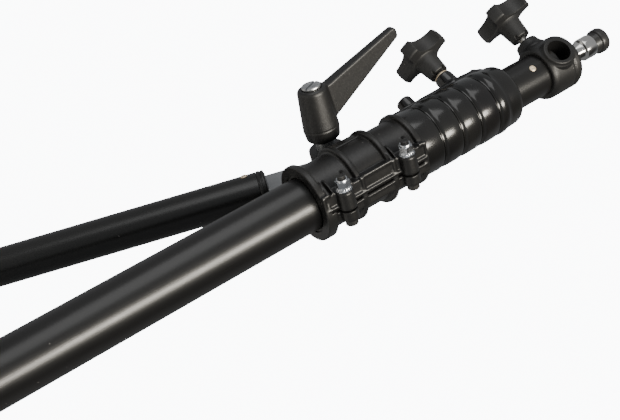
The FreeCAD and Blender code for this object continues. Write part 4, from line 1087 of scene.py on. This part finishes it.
def legFoot(level):
    # ribbed rubber boot, flat where it stands
    slope, boot, length = legs["slope"], legs["boot"], legs["bootLength"]
    along = Vector((math.cos(slope), 0, -math.sin(slope)))
    top = Vector((legs["foot"], 0, legs["end"])) - along * length
    bore = legs["radius"] + 0.1
    outline = [(0, bore), (0, boot - 1.1), (0.8, boot - 0.2)]
    for station in legs["bootRibs"]:
        outline += [(station - 0.9, boot), (station - 0.4, boot - 0.7),
                    (station + 0.4, boot - 0.7), (station + 0.9, boot)]
    outline += [(length + 24, boot), (length + 24, 0), (length + 0.1, 0), (length + 0.1, bore)]
    shape = shifted(lathe(outline, 96, True), Matrix.Translation(top) @
                    Matrix.Rotation(slope, 4, "Y"))
    shape = carved(shape, [slab((200, -60, -90), (520, 60, legs["floorGap"]))])
    return shifted(shape, legTurn(level))


for level, (letter, body) in enumerate((("a", "base"), ("b", "leg_b"), ("c", "leg_c"))):
    finishPiece(legHub(level), "legHubLook_" + letter, standPlace, body,
                finishes["casting"], ["leg_hub_" + letter])
    finishPiece(legTube(level), "legTubeLook_" + letter, standPlace, body,
                finishes["legTube"], ["leg_tube_" + letter])
    finishPiece(legFoot(level), "legFootLook_" + letter, standPlace, body,
                finishes["rubber"], ["leg_foot_" + letter])
print("legs ready")

# CAD pieces that show as they are take their slot's finish
slotFinish = {
    "anodised_tube": "standTube", "black_casting": "casting", "black_knob": "knob",
    "gloss_collar": "collar", "zinc_hardware": "zinc", "dark_steel": "darkSteel",
    "grey_steel": "greySteel", "chrome_spigot": "chrome", "brass_rivet": "brass",
    "nylon_bush": "nylon", "rubber_foot": "rubber",
}
for obj in frame["nodes"].values():
    for index, slot in enumerate(obj.material_slots):
        key = slot.material.name.split(".")[0] if slot.material else ""
        if key in slotFinish:
            obj.data.materials[index] = finishes[slotFinish[key]]
print("frame pieces finished")


def lookFrom(place, forward, up):
    forward, up = Vector(forward).normalized(), Vector(up)
    right = forward.cross(up).normalized()
    turn = Matrix((right, right.cross(forward), -forward)).transposed().to_4x4()
    return Matrix.Translation(place) @ turn


# the camera stands in front of the clamp and below it; place and directions are in the
# boom's frame, lens and sensor in millimetres, near and far in metres
view = {
    "place": (-225.3, -308.706, -475.151), "forward": (0.37551, 0.51109, 0.77316),
    "up": (0.45432, -0.82862, 0.32709), "lens": 58.06, "sensor": 36.0, "near": 0.02,
    "far": 40.0,
}
boomBasis = boomTurn.to_3x3()
cameraData = bpy.data.cameras.new("camera")
cameraData.lens = view["lens"]
cameraData.sensor_width = view["sensor"]
cameraData.clip_start = view["near"]
cameraData.clip_end = view["far"]
camera = bpy.data.objects.new("camera", cameraData)
bpy.context.scene.collection.objects.link(camera)
camera.matrix_world = lookFrom(boomPlace @ Vector(view["place"]),
                               boomBasis @ Vector(view["forward"]),
                               boomBasis @ Vector(view["up"]))
bpy.context.scene.camera = camera


# soft lights aimed at the clamp: directions are in the boom's frame, sizes in metres,
# power in watts
clampMiddle = (60.0, 0.0, 0.0)
lights = {
    "stripLight": {"toward": (0.17, -0.1, -0.96), "distance": 1.5, "width": 1.2,
                   "height": 0.34, "power": 46.0, "colour": (1.0, 0.94, 0.83)},
    "topLight": {"toward": (0.1, -1.0, -0.15), "distance": 1.6, "width": 1.6,
                 "height": 1.0, "power": 9.0, "colour": (1.0, 1.0, 1.0)},
}


def softbox(name, toward, distance, width, height, power, colour):
    data = bpy.data.lights.new(name, "AREA")
    data.shape = "RECTANGLE"
    data.size = width
    data.size_y = height
    data.energy = power
    data.color = colour
    light = bpy.data.objects.new(name, data)
    bpy.context.scene.collection.objects.link(light)
    direction = (boomBasis @ Vector(toward)).normalized()
    target = boomPlace @ Vector(clampMiddle)
    light.matrix_world = lookFrom(target + direction * distance, -direction,
                                  boomBasis @ Vector((0, -1, 0)))


for name, settings in lights.items():
    softbox(name, **settings)

# studio surround: brighter overhead, darker where the clamp's faces mirror it, and plain
# white to the camera
surround = {
    "overhead": {"toward": (0.0, -1.0, 0.0), "low": -0.5, "high": 0.3, "first": 0.2,
                 "second": 0.36},
    "shade": {"toward": (0.37, 0.51, -0.77), "low": 0.72, "high": 0.95, "first": 1.0,
              "second": 0.15},
    "seen": 11.0, "colour": (0.96, 0.98, 1.0),
}
world = bpy.data.worlds.new("studio")
bpy.context.scene.world = world
world.use_nodes = True
tree = world.node_tree
background = tree.nodes["Background"]
direction = tree.nodes.new("ShaderNodeTexCoord").outputs["Generated"]


def facing(toward, low, high, first, second):
    # a smooth value over the angle from one direction
    dot = tree.nodes.new("ShaderNodeVectorMath")
    dot.operation = "DOT_PRODUCT"
    tree.links.new(direction, dot.inputs[0])
    dot.inputs[1].default_value = (boomBasis @ Vector(toward)).normalized()
    node = tree.nodes.new("ShaderNodeMapRange")
    node.interpolation_type = "SMOOTHSTEP"
    tree.links.new(dot.outputs["Value"], node.inputs["Value"])
    node.inputs["From Min"].default_value = low
    node.inputs["From Max"].default_value = high
    node.inputs["To Min"].default_value = first
    node.inputs["To Max"].default_value = second
    return node.outputs["Result"]


strength = addMath(tree, "MULTIPLY", facing(**surround["overhead"]),
                   facing(**surround["shade"]))
seen = tree.nodes.new("ShaderNodeLightPath").outputs["Is Camera Ray"]
level = tree.nodes.new("ShaderNodeMix")
level.data_type = "FLOAT"
tree.links.new(seen, level.inputs["Factor"])
tree.links.new(strength, level.inputs["A"])
level.inputs["B"].default_value = surround["seen"]
tree.links.new(level.outputs["Result"], background.inputs["Strength"])
background.inputs["Color"].default_value = (*surround["colour"], 1.0)

# pale floor just under the feet
ground = {"colour": (0.8, 0.8, 0.8), "clouded": (0.86, 0.86, 0.85), "roughness": 0.7,
          "radius": 1.5, "top": -0.0005, "thickness": 0.0055}
floorMaterial = bpy.data.materials.new("pale_floor")
floorMaterial.use_nodes = True
floorTree = floorMaterial.node_tree
floorShader = floorTree.nodes["Principled BSDF"]
floorVector = floorTree.nodes.new("ShaderNodeTexCoord").outputs["Object"]
floorCloud = addNoise(floorTree, floorVector, 3.0, 4.0)
floorTree.links.new(mixColour(floorTree, floorCloud, ground["colour"], ground["clouded"]),
                    floorShader.inputs["Base Color"])
floorShader.inputs["Roughness"].default_value = ground["roughness"]
floor = toObject(cylinder((0, 0, ground["top"] - ground["thickness"]), zAxis,
                          ground["thickness"], ground["radius"], steps=128), "floor")
floor.data.materials.append(floorMaterial)
print("stage ready")
